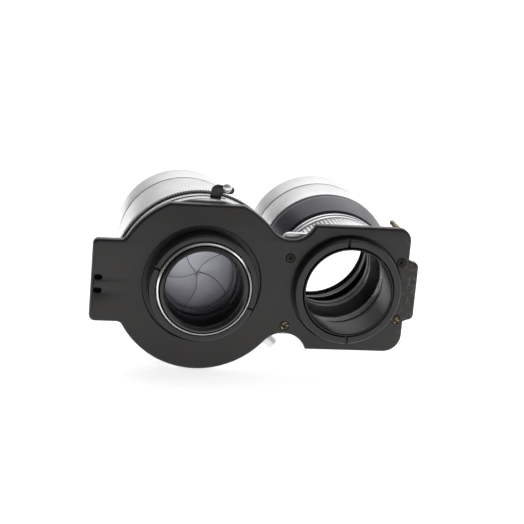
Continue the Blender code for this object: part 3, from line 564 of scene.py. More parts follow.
@dataclass(frozen=True)
class TurnedFinish:
    """Metal turned on a lathe: fine rings about its axis, in its bump and gloss."""

    label: str
    slot: Slot
    colour: Colour
    metallic: float
    roughness: float
    axis_x: float
    line_depth: float = 0.012
    mottle: float = 0.12
    coat: float = 0.0
    specular: float = 0.5
    bore: float = 0.0
    bore_colour: Colour = (0.009, 0.0105, 0.009)

    def material(self) -> bpy.types.Material:
        """Build the material; rings are noise read at (radius, y), so they circle the axis.

        Returns:
            The finished material.
        """
        tree = NodeTree(self.label)
        place = tree.place(self.axis_x)
        parts = tree.node("ShaderNodeSeparateXYZ", {"Vector": place}).outputs
        across = tree.node("ShaderNodeCombineXYZ", {"X": parts["X"], "Z": parts["Z"]})
        radius = tree.node("ShaderNodeVectorMath", {0: across.outputs[0]},
                           operation="LENGTH").outputs["Value"]
        rings = tree.node("ShaderNodeCombineXYZ", {"X": radius, "Y": parts["Y"]}).outputs[0]
        lines = tree.noise(rings, 3.5, 4.0, 0.7)
        haze = tree.noise(place, 0.12, 3.0)
        tree.surface(Metallic=self.metallic, Coat_Weight=self.coat,
                     Specular_IOR_Level=self.specular)
        shade = tree.mixed(tree.ranged(haze, 0.3, 0.7),
                           lighter(self.colour, 1.0 - self.mottle), self.colour)
        if self.bore:
            outside = tree.ranged(radius, self.bore - 0.05, self.bore + 0.05)
            shade = tree.mixed(outside, self.bore_colour, shade)
            tree.surface(Metallic=tree.product(outside, self.metallic))
        tree.surface(Base_Color=shade)
        spread = 0.25 * self.roughness
        tree.surface(Roughness=tree.ranged(lines, 0.25, 0.75, self.roughness - spread,
                                           self.roughness + spread))
        tree.bump(lines, self.line_depth, 0.6)
        return tree.material


@dataclass(frozen=True)
class PaintFinish:
    """Satin paint with a faint orange peel, rubbed through in patches beyond a place along X."""

    label: str
    slot: Slot
    colour: Colour
    rubbed: Colour
    roughness: float
    rub_from: float
    rub_to: float

    def material(self) -> bpy.types.Material:
        """Build the material; rubbing is coarse noise over a threshold, times a ramp along X.

        Returns:
            The finished material.
        """
        tree = NodeTree(self.label)
        place = tree.place()
        parts = tree.node("ShaderNodeSeparateXYZ", {"Vector": place}).outputs
        reach = tree.ranged(parts["X"], self.rub_from, self.rub_to)
        patch = tree.ranged(tree.noise(place, 0.55, 5.0, 0.65), 0.50, 0.66, 0.0, 0.8)
        rub = tree.product(reach, patch)
        cloud = tree.noise(place, 0.07, 4.0)
        tint = tree.mixed(tree.ranged(cloud, 0.35, 0.65), lighter(self.colour, 0.9),
                          lighter(self.colour, 1.12))
        tree.surface(Base_Color=tree.mixed(rub, tint, self.rubbed))
        grain = tree.noise(place, 5.0, 3.0, 0.6)
        tree.surface(Roughness=tree.ranged(grain, 0.3, 0.7, self.roughness - 0.05,
                                           self.roughness + 0.07))
        tree.surface(Specular_IOR_Level=0.28, Coat_Weight=0.35, Coat_Roughness=0.2)
        tree.bump(grain, 0.02, 0.3)
        return tree.material


@dataclass(frozen=True)
class SheetFinish:
    """Thin rolled steel: faint straight lines and a soft cloud in its gloss."""

    label: str
    slot: Slot
    colour: Colour
    roughness: float
    grain_turn: float

    def material(self) -> bpy.types.Material:
        """Build the material; the lines are noise stretched along one direction of the sheet.

        Returns:
            The finished material.
        """
        tree = NodeTree(self.label)
        place = tree.place()
        lay = tree.node("ShaderNodeMapping", {
            "Vector": place, "Rotation": (0.0, math.radians(self.grain_turn), 0.0),
            "Scale": (0.15, 1.0, 4.0)}).outputs["Vector"]
        lines = tree.noise(lay, 1.6, 3.0)
        cloud = tree.noise(place, 0.1, 2.0)
        tree.surface(Metallic=1.0)
        tree.surface(Base_Color=tree.mixed(tree.ranged(cloud, 0.35, 0.65),
                                           lighter(self.colour, 0.9), lighter(self.colour, 1.06)))
        tree.surface(Roughness=tree.ranged(lines, 0.3, 0.7, self.roughness - 0.05,
                                           self.roughness + 0.08))
        tree.bump(lines, 0.004, 0.25)
        return tree.material


@dataclass(frozen=True)
class PatinaFinish:
    """Blackened brass that has worn bright on part of its face."""

    label: str
    slot: Slot
    dark: Colour
    bright: Colour
    wear: float
    spot_scale: float = 0.9

    def material(self) -> bpy.types.Material:
        """Build the material; worn spots are noise over a threshold set by the wear.

        Returns:
            The finished material.
        """
        tree = NodeTree(self.label)
        place = tree.place()
        spots = tree.ranged(tree.noise(place, self.spot_scale, 4.0, 0.6), 0.72 - self.wear * 0.55,
                            0.82 - self.wear * 0.55, 0.0, 1.0)
        tree.surface(Base_Color=tree.mixed(spots, self.dark, self.bright))
        tree.surface(Metallic=tree.ranged(spots, 0.0, 1.0, 0.45, 1.0))
        tree.surface(Roughness=tree.ranged(spots, 0.0, 1.0, 0.5, 0.28))
        tree.bump(tree.noise(place, 6.0, 2.0), 0.01, 0.3)
        return tree.material


@dataclass(frozen=True)
class GlassFinish:
    """Coated lens glass: a tinted mirror whose cover grows from the middle to a grazing view."""

    label: str
    slot: Slot
    tint: Colour
    edge_tint: Colour
    facing: float
    grazing: float

    def material(self) -> bpy.types.Material:
        """Build the material; the mirror's cover is the layer weight, carried between limits.

        Returns:
            The finished material.
        """
        tree = NodeTree(self.label)
        weight = tree.node("ShaderNodeLayerWeight", {"Blend": 0.35}).outputs["Facing"]
        bloom = tree.noise(tree.place(), 0.05, 2.0)
        tree.surface(Metallic=1.0, Roughness=0.03)
        tree.surface(Base_Color=tree.mixed(tree.ranged(bloom, 0.3, 0.7), self.tint,
                                           self.edge_tint))
        tree.surface(Alpha=tree.ranged(weight, 0.15, 1.0, self.facing, self.grazing))
        return tree.material


Finish = TurnedFinish | PaintFinish | SheetFinish | PatinaFinish | GlassFinish
_MADE: dict[Finish, bpy.types.Material] = {}


def material_of(finish: Finish) -> bpy.types.Material:
    """A finish's material, made once and shared by the pieces that wear it.

    Args:
        finish: the finish.

    Returns:
        Its material.
    """
    if finish not in _MADE:
        _MADE[finish] = finish.material()
    return _MADE[finish]


def make_piece(name: str, solid: Solid, finish: Finish, replaces: Sequence[str] = (),
               body: str = ROOT, smooth: float = 32.0) -> bpy.types.Object:
    """Turn a solid into a finished piece that rides on its CAD body.

    Args:
        name: the piece's name.
        solid: its surfaces.
        finish: what it is made of.
        replaces: the CAD nodes it stands for.
        body: the CAD body it moves with.
        smooth: edges sharper than this angle stay sharp.

    Returns:
        The new object.
    """
    piece = bpy.data.objects.new(name, solid.mesh(name, smooth))
    bpy.context.scene.collection.objects.link(piece)
    piece.data.materials.append(material_of(finish))
    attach(piece, body)
    if replaces:
        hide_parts(*replaces)
    LOG.info("%s: %d faces, on %s", name, len(piece.data.polygons), body)
    return piece


def box_of(node: str) -> tuple[Array, Array]:
    """The low and the high corner of a node's box, in millimetres."""
    low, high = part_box(node)
    return np.array(low) / MM, np.array(high) / MM


def dress_node(node: str, finish: Finish) -> None:
    """Give a CAD node that stays as it is a finish.

    Args:
        node: the node.
        finish: what it is made of.
    """
    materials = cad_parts[node].data.materials
    materials.clear()
    materials.append(material_of(finish))
    LOG.info("%s: kept, wears %s", node, finish.label)


@dataclass(frozen=True)
class Span:
    """Where a turned CAD node stands: its axis, its largest radius and its two ends along Y."""

    x: float
    z: float
    radius: float
    back: float
    front: float

    @classmethod
    def of(cls, node: str) -> "Span":
        """Measure a node whose box is as wide as the piece itself.

        Args:
            node: the node.

        Returns:
            Where it stands.
        """
        low, high = box_of(node)
        return cls((low[0] + high[0]) / 2, (low[2] + high[2]) / 2, (high[0] - low[0]) / 2,
                   low[1], high[1])

    @property
    def centre(self) -> tuple[float, float]:
        """The axis as (x, z)."""
        return self.x, self.z


TAKING_X = Span.of("shutter_back_plate").x
VIEWING_X = Span.of("viewing_lower_barrel").x
GAP = 0.3
RING_WIDTHS = {"taking_slotted_ring": 2.15, "viewing_slotted_ring": 2.65}
TAKING_BORE, VIEWING_BORE = 14.4, 19.3
ANGLES_WIDE, ANGLES_USUAL, ANGLES_NARROW = 224, 192, 128
BLADES, BLADE_STEP = 5, 72.0
SATIN: Colour = (0.80, 0.80, 0.81)
PLATED: Colour = (0.88, 0.88, 0.87)


def side_of(axis_x: float) -> str:
    """The name of the side an axis stands on."""
    return "taking" if axis_x < 0 else "viewing"


def black(axis_x: float, label: str = "black_anodised", roughness: float = 0.38,
          level: float = 0.022) -> TurnedFinish:
    """Black anodised metal turned about an axis, as dark as the level."""
    return TurnedFinish(f"{label}_{side_of(axis_x)}", Slot.BLACK, (level, level, level * 1.05),
                        0.35, roughness, axis_x, 0.008, 0.2, 0.15)


def silver(axis_x: float, roughness: float = 0.33) -> TurnedFinish:
    """Satin silver metal turned about an axis."""
    return TurnedFinish(f"satin_silver_{side_of(axis_x)}", Slot.SILVER, SATIN, 1.0, roughness,
                        axis_x)


def bright(axis_x: float, slot: Slot = Slot.BRIGHT) -> TurnedFinish:
    """Bright plated metal turned about an axis."""
    return TurnedFinish(f"{slot.value}_{side_of(axis_x)}", slot, PLATED, 1.0, 0.14, axis_x,
                        0.004, 0.05)


# ---------------------------------------------------------------- board

@dataclass
class LensBoard:
    """The black board that carries both lenses, with its screws."""

    seat_depth: float = 0.8
    taking_seat: float = 20.1
    viewing_seat: float = 19.0
    corner: float = 4.5
    lower_corner: float = 6.2
    waist_radius: float = 8.6
    waist_offset: float = 4.6
    foot_half: float = 14.3
    foot_fillet: float = 2.5
    latch_reach: float = 3.5
    latch_half: float = 10.4
    latch_fillet: float = 0.6
    plate_half: float = 22.1
    tab_corner: float = 2.0
    edge: float = 0.9
    socket_size: tuple[float, float, float] = (2.7, 1.7, 1.6)
    # Near-black cups inside the sockets: painted shade where the pockets' inside lies in shade.
    socket_painted_shade: TurnedFinish = TurnedFinish("socket_painted_shade", Slot.BLACK, (0.003, 0.003, 0.003),
                                               0.0, 0.7, 0.0, specular=0.1)
    socket_inset: float = 2.3
    socket_heights: tuple[float, float] = (1.2, -3.4)
    head_depth: float = 1.4
    cross_arm: float = 0.17
    cross_reach: float = 0.62
    cross_depth: float = 0.75
    screw_wear: tuple[float, ...] = (0.05, 0.36, 0.15, 0.40)
    finish: PaintFinish = PaintFinish("satin_black_paint", Slot.BOARD, (0.0125, 0.0103, 0.0088),
                                      (0.11, 0.095, 0.08), 0.42, 43.5, 47.0)
    low: Array = field(init=False)
    high: Array = field(init=False)

    def __post_init__(self) -> None:
        """Read the board's box from the frame."""
        self.low, self.high = box_of("lens_board")

    def half_outline(self, flat: bool) -> Array:
        """Upper half of the outline, from the foot tab's end to the latch tab's end.

        Every stretch is an arc that meets its neighbours at a tangent: the tab's corner, its
        fillet, the round end, the notch, the square end's corner and the latch tab's corner.

        Args:
            flat: whether the round end is cut flat at the board's highest point.

        Returns:
            Rows of (x, z).
        """
        disc = -self.low[2]
        corner = arc((self.low[0] + self.tab_corner, self.foot_half - self.tab_corner),
                     self.tab_corner, 180, 90, 9)
        fillet_z = self.foot_half + self.foot_fillet
        fillet_dx = math.sqrt((disc + self.foot_fillet) ** 2 - fillet_z ** 2)
        fillet_angle = math.degrees(math.atan2(fillet_z, fillet_dx))
        fillet = arc((TAKING_X - fillet_dx, fillet_z), self.foot_fillet, -90, -fillet_angle, 9)
        waist_dx = self.waist_offset - TAKING_X
        waist_z = math.sqrt((disc + self.waist_radius) ** 2 - waist_dx ** 2)
        waist_angle = math.degrees(math.atan2(waist_z, waist_dx))
        if flat:
            flat_angle = math.degrees(math.asin(self.high[2] / disc))
            disc_arcs = (arc((TAKING_X, 0), disc, 180 - fillet_angle, 180 - flat_angle, 40),
                         arc((TAKING_X, 0), disc, flat_angle, waist_angle, 30))
        else:
            disc_arcs = (arc((TAKING_X, 0), disc, 180 - fillet_angle, waist_angle, 90),)
        drop = math.degrees(math.asin((waist_z - self.plate_half) / self.waist_radius))
        notch = arc((self.waist_offset, waist_z), self.waist_radius, 180 + waist_angle,
                    360 - drop, 30)
        end = self.high[0] - self.latch_reach
        round_off = self.corner if flat else self.lower_corner
        square = arc((end - round_off, self.plate_half - round_off), round_off, 90, 0, 14)
        root = np.array([(end, self.latch_half + self.latch_fillet)])
        latch = arc((self.high[0] - self.tab_corner, self.latch_half - self.tab_corner),
                    self.tab_corner, 90, 0, 9)
        return joined(corner, fillet, *disc_arcs, notch, square, root, latch)

    def outline(self) -> Array:
        """The whole outline; only its upper half has the flat.

        Returns:
            Rows of (x, z).
        """
        lower = self.half_outline(False)[::-1] * (1.0, -1.0)
        return joined(self.half_outline(True), lower)

    def sockets(self) -> list[Array]:
        """Outlines of the two oval sockets near the foot tab's end.

        Returns:
            One closed line of (x, z) for each.
        """
        length, width, _ = self.socket_size
        middle, half = self.low[0] + self.socket_inset, (length - width) / 2
        return [joined(arc((middle + half, z), width / 2, -90, 90, 10),
                       arc((middle - half, z), width / 2, 90, 270, 10))
                for z in self.socket_heights]

    def build(self) -> None:
        """Make the board, the near-black cups of painted shade in its sockets, and the screws."""
        solid, back, front = Solid(), [], []
        for centre, rim, count in self.bores():
            solid.revolve(rim, centre, count, closed=False)
            back.append(circle(centre, rim[0, 0], count))
            front.append(circle(centre, rim[-1, 0], count))
        shade_cups, floor = [], self.socket_size[2]
        for pocket in self.sockets():
            # Each pocket holds a near-black cup just inside its wall and floor: painted shade.
            mouth, lining = inset(pocket, -0.35), inset(pocket, 0.02)
            solid.wall([mouth, inset(pocket, -0.1), pocket, pocket], [0.0, 0.1, 0.35, floor])
            solid.fill([pocket], floor)
            back.append(mouth)
            shade_cups.append(Solid())
            shade_cups[-1].wall([lining, lining], [0.3, floor - 0.05])
            shade_cups[-1].fill([lining], floor - 0.05)
        face = solid.rim(self.outline(), 0.0, self.high[1], self.edge, steps=4)
        solid.fill([face, *back], 0.0)
        solid.fill([face, *front], self.high[1])
        make_piece("mounting_board", solid, self.finish, ["lens_board"])
        for number, cup in enumerate(shade_cups, start=1):
            make_piece(f"socket_painted_shade_{number}", cup, self.socket_painted_shade)
        for number, wear in enumerate(self.screw_wear, start=1):
            self.build_screw(number, wear)

    def bores(self) -> list[tuple[Sequence[float], Array, int]]:
        """The through holes: both lenses' stepped seats and the screws' counterbores.

        Returns:
            For each, its axis (x, z), its rows of (radius, y) and its number of angles.
        """
        found, front = [], self.high[1]
        for x, seat, ring in ((TAKING_X, self.taking_seat, "taking_slotted_ring"),
                              (VIEWING_X, self.viewing_seat, "viewing_slotted_ring")):
            bore = Span.of(ring).radius - RING_WIDTHS[ring]
            found.append(((x, 0.0), np.array([
                (seat + 0.25, 0.0), (seat, 0.25), (seat, self.seat_depth),
                (bore, self.seat_depth), (bore, front)]), 160))
        for number in range(1, 5):
            span = Span.of(f"board_screw_{number}")
            head, shank = span.radius + 0.05, 0.6 * span.radius + GAP
            found.append((span.centre, np.array([
                (head + 0.15, 0.0), (head, 0.15), (head, self.head_depth),
                (shank, self.head_depth), (shank, front)]), 32))
        return found

    def build_screw(self, number: int, wear: float) -> None:
        """Make one screw: a domed head with a cross recess, and its shank.

        The recess lowers the head where |u| or |v| is under half its width and both are within
        its reach, by a depth that falls off towards the reach.

        Args:
            number: which screw.
            wear: share of the head that is worn bright.
        """
        span = Span.of(f"board_screw_{number}")
        radius = 0.94 * span.radius
        rings = np.concatenate([np.linspace(0.0, 0.92, 24), [0.97, 1.0, 1.0]]) * radius
        angles = np.linspace(0.0, TURN, 96, endpoint=False)
        r, a = np.meshgrid(rings, angles, indexing="ij")
        dome = span.back + 0.12 * (r / radius) ** 2
        dome[-2] += 0.06
        dome[-1] = foot = 1.1
        turn = math.radians(20.0 + 37.0 * number)
        u, v = np.abs(r * np.cos(a + turn)), np.abs(r * np.sin(a + turn))
        arm, reach = self.cross_arm * radius, self.cross_reach * radius
        depth = np.clip(1.0 - np.maximum(u, v) / reach, 0.0, 1.0) ** 0.5
        dome += np.where(np.minimum(u, v) < arm, self.cross_depth * depth, 0.0)
        solid = Solid()
        solid.grid(around(span.centre, r, dome, a), wrap_columns=True)
        thin = 0.57 * radius
        shank = np.array([(radius, foot), (thin, foot), (thin, span.front), (0.0, span.front)])
        solid.revolve(shank, span.centre, 96, closed=False)
        finish = PatinaFinish(f"blackened_brass_{number}", Slot.BRASS, (0.025, 0.02, 0.015),
                              (0.42, 0.33, 0.19), wear)
        make_piece(f"cross_screw_{number}", solid, finish, [f"board_screw_{number}"])


@dataclass
class ClampRing:
    """A slotted ring that clamps one lens to the board from behind."""

    node: str
    name: str
    slots: tuple[float, float]
    slot_width: float = 1.1
    slot_depth: float = 1.6
    chamfer: float = 0.4

    def build(self) -> None:
        """Make the ring; its back end drops to the slots' floor where an angle falls in one."""
        span = Span.of(self.node)
        bore = span.radius - RING_WIDTHS[self.node]
        half = self.slot_width / 2 / span.radius
        angles = self.angles(half)
        back, floor = span.back, span.back + self.slot_depth
        profile = softened(np.array([
            (bore, span.front), (bore, floor), (bore + 0.05, back + 0.2), (bore + 0.25, back),
            (span.radius - self.chamfer, back), (span.radius, back + self.chamfer),
            (span.radius, floor), (span.radius, span.front)]), 0.12)
        in_slot = self.off_slots(angles) < half
        depth = np.where(in_slot & (profile[:, 1:] < floor), floor, profile[:, 1:])
        solid = Solid()
        solid.grid(around(span.centre, profile[:, :1], depth, angles), True, True)
        finish = black(span.x, "black_clamp_ring", 0.38, 0.02)
        make_piece(self.name, solid, finish, [self.node])

    def off_slots(self, angles: Array) -> Array:
        """How far angles lie from the nearest slot's middle, in radians.

        Args:
            angles: the angles, in radians.

        Returns:
            One distance for each.
        """
        return np.min([np.abs(np.angle(np.exp(1j * (angles - math.radians(slot)))))
                       for slot in self.slots], axis=0)

    def angles(self, half: float) -> Array:
        """Angles around the ring, closer together beside the walls of the slots.

        Args:
            half: half of a slot's width, in radians.

        Returns:
            The angles, in radians.
        """
        even = np.linspace(0.0, TURN, ANGLES_USUAL, endpoint=False)
        offsets = np.array([-1.16, -1.02, -0.98, 0.0, 0.98, 1.02, 1.16]) * half
        near = np.concatenate([math.radians(slot) + offsets for slot in self.slots])
        clear = self.off_slots(even) > 1.3 * half
        return np.sort(np.mod(np.concatenate([even[clear], near]), TURN))


# ---------------------------------------------------------------- turned pieces and glasses

def make_turned(name: str, node: str, profile: Sequence, finish: Finish, soften: float = 0.15,
                segments: int = 160, ripple: Optional[Ripple] = None, body: str = ROOT
                ) -> bpy.types.Object:
    """Make a turned piece about the axis of the CAD node it stands for.

    Args:
        name: the piece's name.
        node: the CAD node.
        profile: closed rows of (radius, y).
        finish: what it is made of.
        soften: how far from each corner its rounding begins; nought leaves corners sharp.
        segments: number of angles.
        ripple: offsets of the radius, or None.
        body: the CAD body it moves with.

    Returns:
        The new object.
    """
    rows = np.asarray(profile, float)
    rows = softened(rows, soften) if soften else rows
    centre = (TAKING_X if Span.of(node).x < 0 else VIEWING_X, 0.0)
    solid = Solid().revolve(rows, centre, segments, ripple=ripple)
    return make_piece(name, solid, finish, [node], body)


def make_glass(name: str, node: str, finish: GlassFinish, front: float, rear: float = 0.0,
               segments: int = 96, steps: int = 12) -> None:
    """Make a glass whose faces are parabolas, about its CAD node's axis.

    Args:
        name: the piece's name.
        node: the CAD node.
        finish: its coating.
        front: how far its front face bulges.
        rear: how far its rear face bulges.
        segments: number of angles.
        steps: pieces in each face, from pole to rim.
    """
    span, t = Span.of(node), np.linspace(0.0, 1.0, steps + 1)
    back = np.column_stack([span.radius * t, span.back + rear * t ** 2])
    face = np.column_stack([span.radius * t, span.front - front * t ** 2])
    solid = Solid().revolve(np.concatenate([back, face[::-1]]), span.centre, segments,
                            closed=False)
    make_piece(name, solid, finish, [node])


# ---------------------------------------------------------------- shutter side

@dataclass
class TakingRear:
    """Rear cell of the taking lens with its retaining ring and glass."""

    wall: float = 1.6
    lip: float = 0.7
    bulge: float = 0.6

    def build(self) -> None:
        """Make the cell with its bevelled mouth and light-trap rings, the ring and the glass."""
        span = Span.of("taking_rear_cell")
        outer, bore = span.radius, span.radius - self.wall
        glass = Span.of("taking_rear_glass")
        retainer = Span.of("taking_rear_retainer")
        trap = thread(bore, span.back + 3.0, retainer.back - 0.4, 0.6, -0.12)
        seat = glass.front + GAP
        profile = np.concatenate([
            softened(np.array([(bore, span.front), (outer, span.front), (outer, span.back + 0.7),
                               (outer - 0.5, span.back + 0.2), (bore + 0.8, span.back),
                               (bore, span.back + 0.9)]), 0.15, closed=False),
            trap, [(bore, seat), (bore - self.lip, seat), (bore - self.lip, span.front)]])
        make_turned("rear_cell_of_taking_lens", "taking_rear_cell", profile[1:],
                    black(span.x, "black_cell", 0.3, 0.03), 0.0)
        make_turned("rear_retaining_ring", "taking_rear_retainer",
                    tube(bore - self.lip + 0.15, retainer.radius, retainer.back, retainer.front),
                    black(span.x), 0.15, ANGLES_NARROW)
        make_glass("rear_glass_of_taking_lens", "taking_rear_glass",
                   GlassFinish("coated_glass_rear", Slot.GLASS, (0.55, 0.60, 0.85),
                               (0.75, 0.70, 0.85), 0.02, 0.16), self.bulge, self.bulge)


@dataclass
class ShutterShell:
    """Outside of the shutter: back plate with its threaded sleeve, stepped case and face ring."""

    case_wall: float = 1.2
    windows: tuple[tuple[float, float], ...] = ((76.0, 125.0), (241.0, 269.0))
    sleeve_wall: float = 0.75
    cell_gap: float = 0.3

    def build(self) -> None:
        """Make the three shell pieces."""
        plate = Span.of("shutter_back_plate")
        cell = Span.of("taking_rear_cell")
        bore = cell.radius + self.cell_gap
        outer = bore + self.sleeve_wall
        board = Span.of("lens_board")
        ring = Span.of("taking_slotted_ring")
        back_face = board.front + GAP
        profile = np.concatenate([
            softened(np.array([(bore, plate.front), (bore, plate.back + 0.2),
                               (bore + 0.12, plate.back), (outer - 0.34, plate.back),
                               (outer - 0.05, plate.back + 0.4)]), 0.06, closed=False),
            thread(outer, plate.back + 0.42, ring.back + 1.2, 0.35, 0.16),
            [(outer, back_face), (plate.radius - 0.3, back_face),
             (plate.radius, back_face + 0.3), (plate.radius, plate.front)]])
        finish = TurnedFinish("bright_sleeve", Slot.BRIGHT, PLATED, 1.0, 0.2, plate.x, 0.004,
                              0.05, bore=outer - 0.42)
        make_turned("sleeve_and_back_plate", "shutter_back_plate", profile, finish, 0.0,
                    ANGLES_USUAL)
        self.build_case()
        face = Span.of("shutter_face")
        barrel = Span.of("taking_barrel")
        make_turned("shutter_face_ring", "shutter_face", [
            (TAKING_BORE, face.back), (face.radius, face.back), (face.radius, face.back + 0.4),
            (face.radius - 0.6, face.front), (barrel.radius + 1.2, face.front),
            (barrel.radius + 0.8, face.front - 0.25), (TAKING_BORE, face.front - 0.25)],
            silver(face.x), 0.12)

    def build_case(self) -> None:
        """Make the case; its wide part is open where the two levers come out.

        Rows of the profile 1 and 2 are the windows' sills outside, 11 and 12 the same inside.
        """
        case = Span.of("shutter_case")
        ring = Span.of("speed_ring")
        lever = Span.of("cocking_lever")
        shoulder = ring.back - GAP
        neck = ring.radius - 3.0
        low, high = lever.back - GAP, lever.front + GAP
        wide, wall = case.radius, self.case_wall
        profile = np.array([
            (wide, case.back), (wide, low), (wide, high), (wide, shoulder - 0.25),
            (wide - 0.25, shoulder), (neck, shoulder), (neck, case.front - 0.15),
            (neck - 0.15, case.front), (neck - wall, case.front), (neck - wall, shoulder - wall),
            (wide - wall, shoulder - wall), (wide - wall, high), (wide - wall, low),
            (wide - wall, case.back)])
        angles = self.window_angles()
        middle = np.degrees((angles + np.diff(angles, append=angles[0] + TURN) / 2)) % 360
        is_open = np.any([(middle > start) & (middle < end) for start, end in self.windows],
                         axis=0)
        sills = np.array([1, 2, 11, 12])
        in_window = np.isin(np.arange(len(profile)), sills[[0, 2]])
        solid = Solid()
        solid.grid(around(case.centre, profile[:, :1], profile[:, 1:], angles), True, True,
                   ~(in_window[:, None] & is_open[None, :]))
        here = np.arange(len(angles))
        ahead = (here + 1) % len(angles)
        sills *= len(angles)
        jambs = [sills[None, :] + k for k in np.flatnonzero(is_open != np.roll(is_open, 1))]
        ledges = [np.column_stack([outside + here, inside + here, inside + ahead,
                                   outside + ahead])[is_open]
                  for outside, inside in (sills[[0, 3]], sills[[1, 2]])]
        solid.faces.append(np.concatenate([*jambs, *ledges]))
        make_piece("shutter_case_shell", solid, silver(case.x, 0.24), ["shutter_case"])

    def window_angles(self) -> Array:
        """Angles around the case, with one at each side of the two windows.

        Returns:
            The angles, in radians.
        """
        sides = np.radians(np.ravel(self.windows))
        even = np.linspace(0.0, TURN, 180, endpoint=False)
        clear = np.all([np.abs(even - side) > 0.01 for side in sides], axis=0)
        return np.sort(np.concatenate([even[clear], sides]))


@dataclass(frozen=True)
class BladePattern:
    """Geometry shared by every set of five blades around the opening.

    A leading edge is an arc through the middle of the opening, whose radius is that of the
    opening plus a little, so that the blade clears it when it has turned about its pivot.
    """

    opening: float = 12.7
    rim: float = 13.5
    lap: float = 4.0
    pivot_radius: float = 18.0
    heading: float = 65.0
    lug: float = 1.7

    @property
    def swing(self) -> float:
        """Turn between closed and open: twice the angle whose sine is half opening over pivot."""
        return 2 * math.degrees(math.asin(self.opening / (2 * self.pivot_radius)))

    @property
    def pivot(self) -> Array:
        """Pivot of the blade whose leading edge leaves the middle along +X."""
        return polar(self.pivot_radius, -self.swing / 2)

    @property
    def turns(self) -> Array:
        """Turns of the five blades."""
        return self.heading + BLADE_STEP * np.arange(BLADES)

    def outline(self) -> Array:
        """Draw the closed blade whose leading edge leaves the middle along +X.

        Returns:
            Rows of (x, z).
        """
        centre = polar(self.opening, -90)
        reach = 2 * math.degrees(math.asin(self.rim / (2 * self.opening)))
        step = BLADE_STEP + self.lap
        leading = arc(centre, self.opening, 97, 90 - reach, 40)
        trailing = turned(arc(centre, self.opening, 90 - reach, 90 - self.lap, 36), step)
        lug_turn = -self.swing / 2
        lug = arc(self.pivot, self.lug, lug_turn - 95, lug_turn + 95, 20)
        outer = arc((0, 0), self.rim, -reach / 2 + step / 3, -reach / 2 + step, 24)
        return joined(leading, lug, outer, trailing)


@dataclass
class BladeSet:
    """Five thin blades that turn on their own pivots and together close the opening."""

    label: str
    node: str
    finish: SheetFinish
    # Near-black finish for each blade's rounded outer edge: painted shade along the edges where
    # the leaves overlap.
    edge_shade_finish: SheetFinish = SheetFinish("blade_edge_painted_shade", Slot.BLADE_STEEL, (0.06, 0.061, 0.066),
                                           0.5, 45.0)
    opened: bool = False
    eye: float = 0.9
    pattern: BladePattern = BladePattern()

    def build(self) -> None:
        """Make the five blades, each on its own level."""
        pivot, swing = self.pattern.pivot, self.pattern.swing
        flat = (self.pattern.outline(), circle(pivot, self.eye, 16))
        for number, turn in enumerate(self.pattern.turns, start=1):
            node = f"{self.node}_{number}"
            low, high = box_of(node)
            place = turned(pivot[None, :], turn)[0]
            lines = [turned(line, turn) - place for line in flat]
            if self.opened:
                lines = [turned(line, -swing) for line in lines]
            blade, eye = (line + place + (TAKING_X, 0.0) for line in lines)
            solid = Solid().slab(blade, low[1], high[1], 0.05, [eye], steps=1, bevel=0.2)
            piece = make_piece(f"{self.label}_{number}", solid, self.finish, [node], body=node)
            piece.data.materials.append(material_of(self.edge_shade_finish))
            # The outer edge wall and its bevels take the near-black second material: painted
            # shade.
            rim = np.zeros(len(piece.data.polygons), int)
            rim[:len(solid.faces[0])] = 1
            piece.data.polygons.foreach_set("material_index", rim)


@dataclass
class SettingRings:
    """The knurled speed ring and the aperture ring with its lever."""

    teeth: int = 190
    tooth_depth: float = 0.4
    rim: float = 2.6
    step: float = 1.2
    wall: float = 2.7
    chamfer: float = 0.35
    lever_angle: float = 205.0
    lever_reach: float = 31.5
    lever_width: float = 4.0
    lever_inset: float = 1.0

    def build(self) -> None:
        """Make both rings."""
        ring = Span.of("speed_ring")
        low, high = ring.radius - self.step, ring.radius
        bore = ring.radius - self.wall
        rim_end, edge = ring.back + self.rim, self.chamfer
        profile = np.array([
            (bore, ring.back), (high - edge, ring.back), (high, ring.back + edge),
            (high, rim_end - edge), (high - edge, rim_end), (low, rim_end + 0.1),
            (low, ring.front - 0.2), (low - 0.2, ring.front), (bore, ring.front)])
        knurl = Knurl(self.teeth, self.tooth_depth, high - 0.1, (ring.back, rim_end))
        solid = Solid().revolve(profile, ring.centre, self.teeth * 6, ripple=knurl)
        make_piece("knurled_speed_ring", solid, black(ring.x, "black_knurled", 0.42, 0.02),
                   ["speed_ring"], body="speed_ring", smooth=20.0)
        self.build_aperture(bore)
        Scale(ring.x, low, (rim_end + 0.6, ring.front - 0.6), tuple(np.linspace(100, 20, 11)),
              ("1", "2", "4", "8", "15", "30", "60", "125", "250", "500", "B")
              ).build("speed_scale", "speed_ring")

    def build_aperture(self, bore: float) -> None:
        """Make the aperture ring, its lever and its scale.

        Args:
            bore: the ring's bore.
        """
        low, high = box_of("aperture_ring")
        radius = high[2]
        profile = softened(tube(bore, radius, low[1], high[1]), 0.25)
        solid = Solid().revolve(profile, (TAKING_X, 0.0), ANGLES_USUAL)
        half = self.lever_width / 2
        finger = np.array([(radius - 1.0, -half), (self.lever_reach - 0.8, -half),
                           (self.lever_reach, -half + 0.8), (self.lever_reach, half - 0.8),
                           (self.lever_reach - 0.8, half), (radius - 1.0, half)])
        finger = turned(softened(finger, 0.5), self.lever_angle) + (TAKING_X, 0.0)
        solid.slab(finger, low[1] + self.lever_inset, high[1] - self.lever_inset, 0.2)
        make_piece("aperture_ring_and_lever", solid, silver(TAKING_X), ["aperture_ring"],
                   body="aperture_ring")
        Scale(TAKING_X, radius, (low[1] + 0.6, high[1] - 0.6), tuple(np.linspace(-60, 10, 8)),
              ("4", "5.6", "8", "11", "16", "22", "32", ""), (0.012, 0.012, 0.013)
              ).build("aperture_scale", "aperture_ring")


